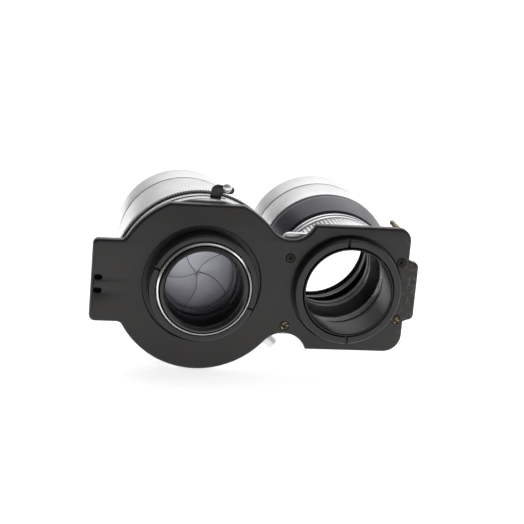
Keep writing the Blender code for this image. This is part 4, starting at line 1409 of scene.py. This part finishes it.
@dataclass
class Scale:
    """Numerals and ticks laid around a ring, reading from the front of the lens."""

    axis_x: float
    radius: float
    span: tuple[float, float]
    angles: tuple[float, ...]
    words: tuple[str, ...]
    colour: Colour = (0.75, 0.75, 0.72)
    lift: float = 0.03
    tick: tuple[float, float] = (0.25, 0.7)
    tallness: float = 0.62

    def build(self, name: str, body: str) -> None:
        """Make the scale: flat numerals bent around the ring.

        A point (u, v) of a flat numeral goes to the angle a - u / radius and to y = base + v,
        on a cylinder a little above the ring.

        Args:
            name: the piece's name.
            body: the CAD body it moves with.
        """
        points, faces, count = [], [], 0
        height = (self.span[1] - self.span[0]) * self.tallness
        width, length = self.tick
        for angle, word in zip(self.angles, self.words):
            flat, loops = self.flat_word(word, height)
            bar = np.array([(-width / 2, 0.0), (width / 2, 0.0), (width / 2, length),
                            (-width / 2, length)])
            for shape, polygons, base in ((flat, loops, self.span[0] + length + 0.25),
                                          (bar, [[0, 1, 2, 3]], self.span[0])):
                a = math.radians(angle) - shape[:, 0] / self.radius
                points.append(around((self.axis_x, 0.0), self.radius + self.lift,
                                     base + shape[:, 1], a))
                faces += [[corner + count for corner in polygon] for polygon in polygons]
                count += len(shape)
        mesh = bpy.data.meshes.new(name)
        mesh.from_pydata(np.concatenate(points) * MM, [], faces)
        piece = bpy.data.objects.new(name, mesh)
        bpy.context.scene.collection.objects.link(piece)
        finish = TurnedFinish(f"{name}_ink", Slot.BLACK, self.colour, 0.0, 0.5, self.axis_x,
                              0.004)
        piece.data.materials.append(material_of(finish))
        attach(piece, body)
        LOG.info("%s: %d faces, on %s", name, len(faces), body)

    @staticmethod
    def flat_word(word: str, height: float) -> tuple[Array, list[list[int]]]:
        """A word's flat mesh, centred on u = 0 and standing on v = 0.

        Args:
            word: the characters.
            height: their height.

        Returns:
            Rows of (u, v) and the faces that number them.
        """
        if not word:
            return np.zeros((0, 2)), []
        curve = bpy.data.curves.new("numeral", "FONT")
        curve.body, curve.size, curve.align_x = word, height * 1.35, "CENTER"
        curve.resolution_u = 2
        letters = bpy.data.objects.new("numeral", curve)
        bpy.context.scene.collection.objects.link(letters)
        bpy.context.view_layer.update()
        mesh = letters.to_mesh()
        flat = np.empty(len(mesh.vertices) * 3)
        mesh.vertices.foreach_get("co", flat)
        polygons = [list(polygon.vertices) for polygon in mesh.polygons]
        letters.to_mesh_clear()
        bpy.data.objects.remove(letters)
        bpy.data.curves.remove(curve)
        return flat.reshape(-1, 3)[:, :2], polygons


@dataclass
class BladePlates:
    """The two ring plates inside the case, each with a pivot pin for every blade of its set."""

    opening: float = 12.4
    pin: float = 0.6
    pattern: BladePattern = BladePattern()

    def build(self) -> None:
        """Make both plates with their pins, and dress the hidden rings that turn the blades."""
        for node, name, rear_pins in (("shutter_blade_plate", "shutter_pivot_plate", False),
                                      ("iris_plate", "iris_pivot_plate", True)):
            span = Span.of(node)
            back, front = ((span.front - 1.0, span.front) if rear_pins
                           else (span.back, span.back + 1.0))
            solid = Solid().revolve(softened(tube(self.opening, span.radius, back, front), 0.1),
                                    (TAKING_X, 0.0), ANGLES_NARROW)
            low, high = (span.back, back) if rear_pins else (front, span.front)
            for turn in self.pattern.turns:
                centre = turned(self.pattern.pivot[None, :], turn)[0] + (TAKING_X, 0.0)
                solid.revolve(np.array([(0.0, low), (self.pin, low), (self.pin, high),
                                        (0.0, high)]), centre, 16, closed=False)
            make_piece(name, solid, black(TAKING_X), [node])
        dress_node("blade_drive_ring", BLADE_STEEL)
        dress_node("iris_ring", black(TAKING_X))


LEVER_AXIS = -1.0
BLADE_STEEL = SheetFinish("blade_steel", Slot.BLADE_STEEL, (0.74, 0.75, 0.79), 0.58, 20.0)
BLADE_BLACK = SheetFinish("blade_blued", Slot.BLADE_BLACK, (0.05, 0.052, 0.06), 0.34, 70.0)


@dataclass
class Levers:
    """The cocking lever with its hooked end and ball knob, and the release lever on its pivot.

    Each lever's end stands past the board's edge by its own overhang.
    """

    cocking_overhang: float = 2.9
    release_overhang: float = 1.7
    cocking_angle: float = 83.0
    arm_width: float = 3.8
    hub_width: float = 3.0
    hook: float = 5.4
    bend: float = 2.4
    tip: float = 1.3
    knob: float = 1.6
    knob_place: tuple[float, float] = (0.2, 3.0)
    release_angle: float = -112.0
    release_width: float = 3.0
    release_corner: float = 1.0
    pivot_inset: float = 5.8
    pivot_screw: float = 0.7
    finish: TurnedFinish = black(LEVER_AXIS, "black_lever", 0.32, 0.02)

    def build(self) -> None:
        """Make the levers, the knob and the pivot screw."""
        edge = -box_of("lens_board")[0][2]
        self.build_cocking(edge + self.cocking_overhang)
        self.build_release(edge + self.release_overhang)

    def build_cocking(self, reach: float) -> None:
        """Make the hub ring, the arm with its hook, and the turned ball knob behind it.

        Args:
            reach: how far the arm's end stands from the axis.
        """
        low, high = box_of("cocking_lever")
        back, front = low[1], high[1]
        hub = Span.of("taking_rear_cell").radius + GAP + 1.0
        root, half = hub + self.hub_width - 0.4, self.arm_width / 2
        inner = reach - 2 * self.tip
        tip_z = self.tip - half - self.hook + 1.4
        crook = 0.9
        arm = joined(np.array([(root, -half)]),
                     arc((inner - crook, -half - crook), crook, 90, 0, 8),
                     arc((reach - self.tip, tip_z), self.tip, 180, 360, 20),
                     arc((reach - self.bend, half - self.bend), self.bend, 0, 90, 14),
                     np.array([(root, half)]))
        arm = turned(arm, self.cocking_angle) + (TAKING_X, 0.0)
        solid = Solid().revolve(softened(tube(hub, hub + self.hub_width, back, front), 0.15),
                                (TAKING_X, 0.0), ANGLES_NARROW)
        solid.slab(arm, back, front, 0.3)
        make_piece("cocking_lever_arm", solid, self.finish, ["cocking_lever"],
                   body="cocking_lever")
        centre = turned(np.array([(reach - self.knob_place[0], -self.knob_place[1])]),
                        self.cocking_angle)[0] + (TAKING_X, 0.0)
        rear, face = (corner[1] for corner in box_of("cocking_knob"))
        t = np.linspace(-0.5, 0.38, 20) * math.pi
        middle = rear + self.knob * 0.8
        ball = np.column_stack([self.knob * np.cos(t), middle + self.knob * 0.8 * np.sin(t)])
        ball = np.concatenate([ball, [(0.95, face - 0.25), (0.95, face), (0.0, face)]])
        make_piece("cocking_ball_knob", Solid().revolve(ball, centre, 48, closed=False),
                   TurnedFinish("pale_ball", Slot.CHROME, (0.92, 0.92, 0.91), 0.75, 0.3,
                                TAKING_X, 0.003), ["cocking_knob"], body="cocking_lever")

    def build_release(self, reach: float) -> None:
        """Make the release lever and the screw that it turns on.

        Args:
            reach: how far the lever's end stands from the shutter's axis.
        """
        low, high = box_of("release_lever")
        distance = Span.of("shutter_case").radius - self.pivot_inset
        pivot = polar(distance, self.release_angle) + (TAKING_X, 0.0)
        half, length, corner = self.release_width / 2, reach - distance, self.release_corner
        arm = joined(arc((0, 0), half, 90, 270, 20),
                     arc((length - corner, corner - half), corner, -90, 0, 10),
                     arc((length - 0.4, half - 0.4), 0.4, 0, 90, 5))
        eye = circle((0, 0), self.pivot_screw + GAP, 24)
        arm, eye = (turned(line, self.release_angle) + pivot for line in (arm, eye))
        solid = Solid().slab(arm, low[1], high[1], 0.25, [eye])
        make_piece("release_lever_arm", solid, self.finish, ["release_lever"],
                   body="release_lever")
        start, end = (corner[1] for corner in box_of("release_pivot_screw"))
        head = end - 0.6
        profile = softened(np.array([(0.0, start), (self.pivot_screw, start),
                                     (self.pivot_screw, head), (2 * self.pivot_screw, head),
                                     (2 * self.pivot_screw, end), (0.0, end)]), 0.15, False)
        make_piece("release_pivot", Solid().revolve(profile, pivot, 32, closed=False),
                   PatinaFinish("pivot_brass", Slot.BRASS, (0.08, 0.06, 0.035),
                                (0.58, 0.46, 0.24), 0.6), ["release_pivot_screw"])


@dataclass
class SyncFittings:
    """The flash socket, standing radially on the case, and the small lever beside it."""

    socket_angle: float = -40.0
    socket_reach: float = 36.0
    socket_radius: float = 2.0
    collar: float = 0.6
    bore: float = 1.2
    depth: float = 3.0
    lever_angle: float = -72.0
    arm: float = 5.5
    hub: float = 1.5
    tip: float = 0.8
    thickness: float = 1.0

    @staticmethod
    def laid(solid: Solid, angle: float, foot: Array) -> Solid:
        """Turn a solid so that its Y axis runs along a radius of the shutter.

        Args:
            solid: the solid, made about Y.
            angle: the radius's angle.
            foot: where its origin goes (x, y, z).

        Returns:
            The same solid.
        """
        turn = np.array(Matrix.Rotation(-math.radians(angle), 3, "Y")
                        @ Matrix.Rotation(-math.pi / 2, 3, "Z"))
        solid.points = [block @ turn.T + foot for block in solid.points]
        return solid

    def build(self) -> None:
        """Make the socket and the lever."""
        case = Span.of("shutter_case")
        base = case.radius + GAP
        y = sum(corner[1] for corner in box_of("sync_socket")) / 2
        collar, radius = self.socket_radius + self.collar, self.socket_radius
        profile = softened(np.array([
            (0.0, base), (collar, base), (collar, base + 1.0), (radius, base + 1.0),
            (radius, self.socket_reach), (self.bore, self.socket_reach),
            (self.bore, self.socket_reach - self.depth),
            (0.0, self.socket_reach - self.depth)]), 0.2, closed=False)
        solid = Solid().revolve(profile, segments=64, closed=False)
        solid.revolve(softened(np.array([
            (0.0, self.socket_reach - self.depth + 0.05), (0.4, self.socket_reach - self.depth),
            (0.4, self.socket_reach - 0.8), (0.0, self.socket_reach - 0.7)]), 0.1, False),
            segments=24, closed=False)
        make_piece("flash_socket", self.laid(solid, self.socket_angle,
                                             np.array([TAKING_X, y, 0.0])),
                   TurnedFinish("pale_socket", Slot.BRIGHT, (0.95, 0.95, 0.94), 0.9, 0.5,
                                TAKING_X, 0.004), ["sync_socket"])
        outline = joined(arc((0, 0), self.hub, -80, 80, 24),
                         arc((-self.arm, 0), self.tip, 100, 260, 16))
        solid = Solid().slab(outline, 0.0, self.thickness, 0.2)
        flat = np.array(Matrix.Rotation(math.pi / 2, 3, "Y"))
        solid.points = [block @ flat.T for block in solid.points]
        foot = polar(base, self.lever_angle)
        make_piece("flash_setting_lever", self.laid(solid, self.lever_angle,
                                                    np.array([TAKING_X + foot[0], y, foot[1]])),
                   bright(TAKING_X, Slot.CHROME), ["sync_lever"], body="sync_lever")


# ---------------------------------------------------------------- lens fronts

@dataclass
class LensFront:
    """Front half of one lens: barrel, filter-thread ring, front glass and plain black ring."""

    side: str
    floor_bore: float
    floor: float = 2.0
    spigot: float = 2.0
    spigot_inset: float = 1.55
    wall: float = 2.0
    ring_wall: float = 1.25
    thread_pitch: float = 0.75
    thread_length: float = 3.6
    bulge: float = 2.2

    def build(self) -> None:
        """Make the four pieces."""
        x = TAKING_X if self.side == "taking" else VIEWING_X
        barrel = Span.of(f"{self.side}_barrel")
        radius, end = barrel.radius, barrel.front - self.spigot
        outer = radius - self.spigot_inset
        bore = outer - self.wall
        trap = thread(bore, end - 1.0, barrel.back + self.floor + 1.0, 0.8, -0.15)
        profile = np.concatenate([
            softened(np.array([(self.floor_bore, barrel.back + 0.2), (radius - 0.2, barrel.back),
                               (radius, barrel.back + 0.2), (radius, end), (outer, end),
                               (outer, barrel.front), (bore, barrel.front)]), 0.25, False),
            trap, [(bore, barrel.back + self.floor), (self.floor_bore, barrel.back + self.floor)]])
        finish = TurnedFinish(f"satin_silver_barrel_{self.side}", Slot.SILVER, SATIN, 1.0, 0.30,
                              x, specular=0.15, bore=radius - 0.7)
        make_turned(f"{self.side}_silver_barrel", f"{self.side}_barrel", profile, finish, 0.0,
                    ANGLES_WIDE)
        self.build_ring(x)
        glass = Span.of(f"{self.side}_front_glass")
        make_glass(f"{self.side}_front_lens", f"{self.side}_front_glass",
                   GlassFinish("coated_glass_front", Slot.GLASS, (0.45, 0.50, 0.85),
                               (0.80, 0.60, 0.40), 0.05, 0.40), self.bulge,
                   segments=ANGLES_NARROW)
        cap = Span.of(f"{self.side}_name_ring")
        inner = glass.radius
        steps = np.linspace(inner + 0.4, cap.radius - 0.5, 7)
        ridges = np.column_stack([np.repeat(steps, 2)[::-1],
                                  np.tile([cap.front, cap.front - 0.12], 7)])
        profile = np.concatenate([[(inner - 1.0, cap.back), (cap.radius, cap.back),
                                   (cap.radius, cap.front)], ridges, [(inner - 0.2, cap.front)]])
        make_turned(f"{self.side}_plain_ring", f"{self.side}_name_ring", profile,
                    black(x, "black_front_ring", 0.45, 0.018), 0.06, ANGLES_USUAL)

    def build_ring(self, x: float) -> None:
        """Make the front ring with its filter thread.

        Args:
            x: where the lens's axis stands.
        """
        span = Span.of(f"{self.side}_front_ring")
        radius, bore = span.radius, span.radius - self.ring_wall
        cut = thread(bore, span.front - 0.5, span.front - 0.5 - self.thread_length,
                     self.thread_pitch, -0.4)
        profile = np.concatenate([
            softened(np.array([(bore, span.back), (radius - 0.15, span.back),
                               (radius, span.back + 0.15), (radius, span.front - 0.5),
                               (radius - 0.45, span.front), (bore + 0.35, span.front)]), 0.2,
                     False), cut, [(bore, span.front - 0.6 - self.thread_length)]])
        finish = TurnedFinish(f"satin_silver_rim_{self.side}", Slot.SILVER, SATIN, 1.0, 0.30, x,
                              specular=0.25, bore=bore + 0.02)
        make_turned(f"{self.side}_filter_ring", f"{self.side}_front_ring", profile, finish, 0.0,
                    ANGLES_WIDE)


@dataclass
class TakingInner:
    """The taking lens's second cell, inside its barrel."""

    lip: float = 1.5
    floor: float = 1.2
    bulge: float = 1.6

    def build(self) -> None:
        """Make the cell and its glass."""
        cell, glass = Span.of("taking_inner_cell"), Span.of("taking_inner_glass")
        bore, lip = glass.radius + GAP, glass.radius - self.lip
        profile = [(lip, cell.back), (cell.radius, cell.back), (cell.radius, cell.front),
                   (bore + 1.2, cell.front), (bore, cell.front - 1.0),
                   (bore, cell.back + self.floor), (lip, cell.back + self.floor)]
        make_turned("taking_second_cell", "taking_inner_cell", profile, black(TAKING_X))
        make_glass("taking_second_glass", "taking_inner_glass",
                   GlassFinish("coated_glass_inner", Slot.GLASS, (0.80, 0.60, 0.40),
                               (0.55, 0.50, 0.80), 0.04, 0.4), self.bulge)


# ---------------------------------------------------------------- viewing side

DULL_RING = TurnedFinish("dull_lock_ring", Slot.CHROME, (0.14, 0.14, 0.145), 0.8, 0.38, VIEWING_X,
                         0.006)


@dataclass
class ViewingRear:
    """Rear of the viewing lens: tube, mount plate, reeded lower barrel and the rings in it."""

    tube_wall: float = 0.55
    barrel_wall: float = 2.7
    reeds: int = 96
    reed_depth: float = 0.45
    plate_corner: float = 2.5
    screw_hole: float = 1.15
    ring_margin: float = 2.95
    floor: float = 2.0
    groove: tuple[float, float] = (3.4, 2.0)
    groove_depth: float = 0.5
    throat_depth: float = 7.8
    throat_length: float = 0.8
    bulge: float = 0.8

    def build(self) -> None:
        """Make every piece from the tube's rear end to the rear glass."""
        barrel = Span.of("viewing_lower_barrel")
        outer = Span.of("viewing_slotted_ring").radius - self.ring_margin
        self.build_tube(outer, barrel)
        self.build_plate(outer)
        bore = barrel.radius - self.barrel_wall
        floor, top = barrel.back + self.floor, barrel.radius
        low, high = (barrel.front - place for place in self.groove)
        sunk = top - self.groove_depth
        profile = [(outer + GAP, barrel.back), (top - 0.8, barrel.back),
                   (top - 0.5, barrel.back + 0.6), (top, barrel.back + 1.0), (top, low),
                   (sunk, low + 0.4), (sunk, high - 0.4), (top, high), (top, barrel.front),
                   (bore, barrel.front), (bore, floor), (outer + GAP, floor)]
        reeds = Knurl(self.reeds, self.reed_depth, top - 0.1,
                      (barrel.back + 0.9, barrel.front - 3.3))
        finish = TurnedFinish("satin_silver_reeded", Slot.SILVER, (0.92, 0.92, 0.93), 1.0, 0.36,
                              VIEWING_X, bore=top - 1.2)
        make_turned("reeded_lower_barrel", "viewing_lower_barrel", profile, finish, 0.0,
                    self.reeds * 8, reeds)
        lock = Span.of("viewing_lock_ring")
        make_turned("viewing_lock_collar", "viewing_lock_ring",
                    tube(bore + 1.0, lock.radius, lock.back, lock.front),
                    silver(VIEWING_X, 0.24), 0.25)
        ring = Span.of("viewing_bright_ring")
        inner = bore - 1.0
        make_turned("bright_inner_ring", "viewing_bright_ring",
                    [(inner, ring.front), (inner, ring.back + 0.5), (inner + 0.45, ring.back),
                     (ring.radius, ring.back), (ring.radius, ring.front)],
                    TurnedFinish("bright_edge", Slot.CHROME, (0.86, 0.86, 0.85), 1.0, 0.22,
                                 VIEWING_X, 0.004, bore=inner + 0.12, specular=0.15), 0.06)
        self.build_cell(bore)

    def build_tube(self, outer: float, barrel: Span) -> None:
        """Make the rear tube with its flange and fine rings in its bore.

        Args:
            outer: the tube's outer radius.
            barrel: the lower barrel it stands in.
        """
        span = Span.of("viewing_rear_tube")
        bore, flange = outer - self.tube_wall, barrel.back + self.floor + GAP
        start = np.array([(bore, span.front), (span.radius, span.front),
                          (span.radius, flange), (outer, flange), (outer, span.back + 0.15),
                          (outer - 0.15, span.back), (bore + 0.1, span.back),
                          (bore, span.back + 0.2)])
        rings = thread(bore, span.back + 1.2, span.front - 0.6, 0.7, -0.05)
        make_turned("viewing_tube", "viewing_rear_tube", np.concatenate([start, rings]),
                    TurnedFinish("dull_tube", Slot.BLACK, (0.03, 0.03, 0.034), 0.7, 0.34,
                                 VIEWING_X, 0.0015), 0.0, ANGLES_USUAL)

    def build_plate(self, outer: float) -> None:
        """Make the mount plate that the four screws hold.

        Args:
            outer: the viewing tube's outer radius.
        """
        low, high = box_of("viewing_mount_plate")
        left, right, top, c = low[0], high[0], high[2], self.plate_corner
        case = Span.of("shutter_case").radius + 2 * GAP
        side = math.degrees(math.acos(min(1.0, (left - TAKING_X) / case)))
        cut = arc((TAKING_X, 0), case, -side, side, 40) if side > 0.5 else None
        middles = ((right - c, top - c), (left + c, top - c), (left + c, c - top),
                   (right - c, c - top))
        runs = [arc(middle, c, 90 * number, 90 * (number + 1), 8)
                for number, middle in enumerate(middles)]
        if cut is not None and abs(cut[0, 1]) < top - c:
            runs.insert(2, cut[::-1])
        outline = joined(*runs)
        holes = [circle((VIEWING_X, 0), outer + GAP, ANGLES_NARROW)]
        for number in range(1, 5):
            screw = Span.of(f"board_screw_{number}")
            holes.append(circle(screw.centre, self.screw_hole, 24))
        solid = Solid().slab(outline, low[1], high[1], 0.2, holes)
        make_piece("viewing_flange_plate", solid, silver(VIEWING_X), ["viewing_mount_plate"])

    def build_cell(self, bore: float) -> None:
        """Make the rear cell with its throat, the glass and the ring that holds it.

        Args:
            bore: the lower barrel's bore.
        """
        cell, glass = Span.of("viewing_rear_cell"), Span.of("viewing_rear_glass")
        throat = cell.back + self.throat_depth
        seat = throat + self.throat_length
        profile = [(cell.radius - 0.6, cell.back), (cell.radius, cell.back),
                   (cell.radius, cell.front), (glass.radius + GAP, cell.front),
                   (glass.radius + GAP, seat), (bore - 2.5, seat), (bore - 2.5, throat)]
        finish = TurnedFinish("green_black_cell", Slot.BLACK, (0.010, 0.0125, 0.0085), 0.1, 0.5,
                              VIEWING_X, 0.008, specular=0.15)
        make_turned("viewing_rear_holder", "viewing_rear_cell", profile, finish, 0.1,
                    ANGLES_USUAL)
        make_glass("viewing_rear_lens", "viewing_rear_glass",
                   GlassFinish("coated_glass_viewing", Slot.GLASS, (0.70, 0.75, 0.90),
                               (0.85, 0.80, 0.85), 0.01, 0.12), self.bulge)
        ring = Span.of("viewing_rear_retainer")
        make_turned("viewing_rear_lock", "viewing_rear_retainer",
                    tube(glass.radius - 0.4, ring.radius, ring.back, ring.front),
                    DULL_RING, 0.1)


@dataclass
class ViewingFront:
    """Black cone band of the viewing lens, its front barrel's inner ring and its dark lining."""

    band_rim: float = 3.0
    band_wall: float = 2.1
    retainer_wall: float = 2.0

    def build(self) -> None:
        """Make the band, the retaining ring and the lining."""
        band = Span.of("viewing_band")
        lower = Span.of("viewing_lower_barrel").radius
        bore = lower - self.band_wall
        profile = [(bore, band.back), (lower + 0.8, band.back), (lower + 1.0, band.back + 0.2),
                   (band.radius, band.front - self.band_rim),
                   (band.radius, band.front - 1.5), (band.radius - 0.25, band.front - 1.3),
                   (band.radius - 0.25, band.front - 1.0), (band.radius, band.front - 0.8),
                   (band.radius, band.front), (bore, band.front)]
        finish = TurnedFinish("band_black", Slot.BAND, (0.052, 0.050, 0.064), 0.6, 0.36,
                              VIEWING_X, 0.01, 0.15, 0.1)
        make_turned("viewing_cone_band", "viewing_band", profile, finish, 0.12, ANGLES_WIDE)
        ring = Span.of("viewing_front_retainer")
        make_turned("viewing_front_lock", "viewing_front_retainer",
                    tube(ring.radius - self.retainer_wall, ring.radius, ring.back, ring.front),
                    DULL_RING, 0.1)
        end = Span.of("viewing_front_glass").back - GAP
        wall = np.array([(ring.radius - 0.7, ring.front + GAP), (ring.radius, ring.front + GAP),
                         (ring.radius, end), (ring.radius - 0.3, end)])
        lining = TurnedFinish("olive_lining", Slot.BLACK, (0.075, 0.062, 0.035), 0.2, 0.5,
                              VIEWING_X, 0.008)
        solid = Solid().revolve(wall, (VIEWING_X, 0.0), 160)
        make_piece("viewing_front_lining", solid, lining)


@dataclass
class StopPost:
    """Small post with a round tip on the front of the board."""

    radius: float = 0.9
    foot: tuple[float, float] = (1.5, 1.5)
    neck: tuple[float, float] = (8.0, 9.0)
    neck_depth: float = 0.15

    def build(self) -> None:
        """Make the post: foot, waist, shank and domed tip."""
        span = Span.of("stop_post")
        foot, rise = self.foot
        low, high = (span.back + place for place in self.neck)
        thin = self.radius - self.neck_depth
        t = np.linspace(0.0, math.pi / 2, 7)
        tip = np.column_stack([self.radius * np.cos(t),
                               span.front - self.radius * (1 - np.sin(t))])
        profile = np.concatenate([
            [(0.0, span.back), (foot, span.back), (foot, span.back + rise - 0.2),
             (foot - 0.2, span.back + rise), (self.radius, span.back + rise),
             (self.radius, low), (thin, low + 0.2), (thin, high - 0.2), (self.radius, high)],
            tip])
        make_piece("stop_post_turned", Solid().revolve(profile, span.centre, 40, closed=False),
                   PatinaFinish("post_brass", Slot.BRASS, (0.10, 0.08, 0.05),
                                (0.40, 0.32, 0.19), 0.45, 0.35), ["stop_post"])


# ---------------------------------------------------------------- studio

@dataclass
class Studio:
    """Plain pale floor, soft studio light and the camera."""

    eye: tuple[float, float, float] = (-104.29, -536.16, 155.06)
    tilt: float = -15.04
    heading: float = -10.48
    roll: float = 4.98
    lens: float = 114.8
    floor_size: float = 4.0
    back_light: float = 1.0
    camera_light: float = 0.26
    left_light: float = 0.22

    def build(self) -> None:
        """Make the floor, the sky, the lamps and the camera."""
        self.build_floor()
        self.build_world()
        self.build_lamps()
        self.build_camera()
        bpy.context.scene.view_settings.view_transform = "Standard"

    def build_floor(self) -> None:
        """Lay a matt floor under the object's lowest point."""
        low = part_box("lens_board")[0][2] - 0.0005
        half = self.floor_size / 2
        mesh = bpy.data.meshes.new("studio_floor")
        mesh.from_pydata([(-half, -half, low), (half, -half, low), (half, half, low),
                          (-half, half, low)], [], [(0, 1, 2, 3)])
        floor = bpy.data.objects.new("studio_floor", mesh)
        bpy.context.scene.collection.objects.link(floor)
        tree = NodeTree("studio_paper")
        fleck = tree.noise(tree.place(), 0.02, 3.0)
        tree.surface(Base_Color=tree.mixed(fleck, (0.93, 0.93, 0.93), (0.95, 0.95, 0.95)),
                     Roughness=0.9, Emission_Color=(1.0, 1.0, 1.0, 1.0), Emission_Strength=0.75)
        mesh.materials.append(tree.material)

    def build_world(self) -> None:
        """Light the room: bright beyond the object, dimmer on the camera's side."""
        world = bpy.data.worlds.new("studio_room")
        world.use_nodes = True
        bpy.context.scene.world = world
        nodes, links = world.node_tree.nodes, world.node_tree.links
        way = nodes.new("ShaderNodeTexCoord")
        parts = nodes.new("ShaderNodeSeparateXYZ")
        links.new(way.outputs["Generated"], parts.inputs["Vector"])
        level = nodes.new("ShaderNodeMath")
        level.operation = "MULTIPLY"
        for number, (axis, start, end, low, high) in enumerate((
                ("Y", -0.15, 0.45, self.camera_light, self.back_light),
                ("X", -0.75, 0.5, self.left_light, 1.15))):
            ramp = nodes.new("ShaderNodeMapRange")
            ramp.interpolation_type = "SMOOTHSTEP"
            for key, value in (("From Min", start), ("From Max", end), ("To Min", low),
                               ("To Max", high)):
                ramp.inputs[key].default_value = value
            links.new(parts.outputs[axis], ramp.inputs["Value"])
            links.new(ramp.outputs["Result"], level.inputs[number])
        seen = nodes.new("ShaderNodeLightPath")
        pick = nodes.new("ShaderNodeMath")
        pick.operation = "MAXIMUM"
        links.new(level.outputs[0], pick.inputs[0])
        links.new(seen.outputs["Is Camera Ray"], pick.inputs[1])
        links.new(pick.outputs[0], nodes["Background"].inputs["Strength"])
        nodes["Background"].inputs["Color"].default_value = (1.0, 1.0, 1.0, 1.0)

    def build_lamps(self) -> None:
        """Hang two soft boxes: a wide one above and a smaller one to the right of the camera."""
        for name, place, size, power in (
                ("overhead", (0.1, 0.6, 0.8), 1.2, 3.5),
                ("right_fill", (0.9, 0.1, 0.4), 0.6, 1.5)):
            lamp = bpy.data.lights.new(name, "AREA")
            lamp.shape, lamp.size, lamp.energy = "SQUARE", size, power
            light = bpy.data.objects.new(name, lamp)
            bpy.context.scene.collection.objects.link(light)
            light.location = place
            light.rotation_euler = (-Vector(place)).to_track_quat("-Z", "Y").to_euler()

    def build_camera(self) -> None:
        """Set up the camera from its eye, tilt, heading and roll."""
        e, a, r = (math.radians(v) for v in (self.tilt, self.heading, self.roll))
        forward = Vector((-math.sin(a) * math.cos(e), math.cos(a) * math.cos(e), math.sin(e)))
        right = Vector((math.cos(a), math.sin(a), 0.0))
        up = right.cross(forward)
        side = math.cos(r) * right + math.sin(r) * up
        top = math.cos(r) * up - math.sin(r) * right
        data = bpy.data.cameras.new("studio_camera")
        data.lens, data.sensor_width = self.lens, 36.0
        data.clip_start, data.clip_end = 0.01, 20.0
        camera = bpy.data.objects.new("studio_camera", data)
        bpy.context.scene.collection.objects.link(camera)
        place = Matrix((side, top, -forward)).transposed().to_4x4()
        place.translation = Vector(self.eye) * MM
        camera.matrix_world = place
        bpy.context.scene.camera = camera


def main() -> None:
    """Build every assembly in order."""
    logging.basicConfig(level=logging.INFO, format="%(message)s")
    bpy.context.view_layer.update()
    assemblies = (
        LensBoard(),
        ClampRing("taking_slotted_ring", "taking_clamp_ring", (158.0, -21.0)),
        ClampRing("viewing_slotted_ring", "viewing_clamp_ring", (95.0, -87.0)),
        TakingRear(), ShutterShell(), BladePlates(),
        BladeSet("shutter_leaf", "shutter_blade", BLADE_STEEL),
        BladeSet("iris_leaf", "iris_blade", BLADE_BLACK, opened=True),
        SettingRings(), Levers(), SyncFittings(),
        LensFront("taking", TAKING_BORE), TakingInner(), ViewingRear(), ViewingFront(),
        LensFront("viewing", VIEWING_BORE), StopPost(), Studio())
    for assembly in assemblies:
        LOG.info("building %s", type(assembly).__name__)
        assembly.build()


if __name__ == "__main__":
    main()
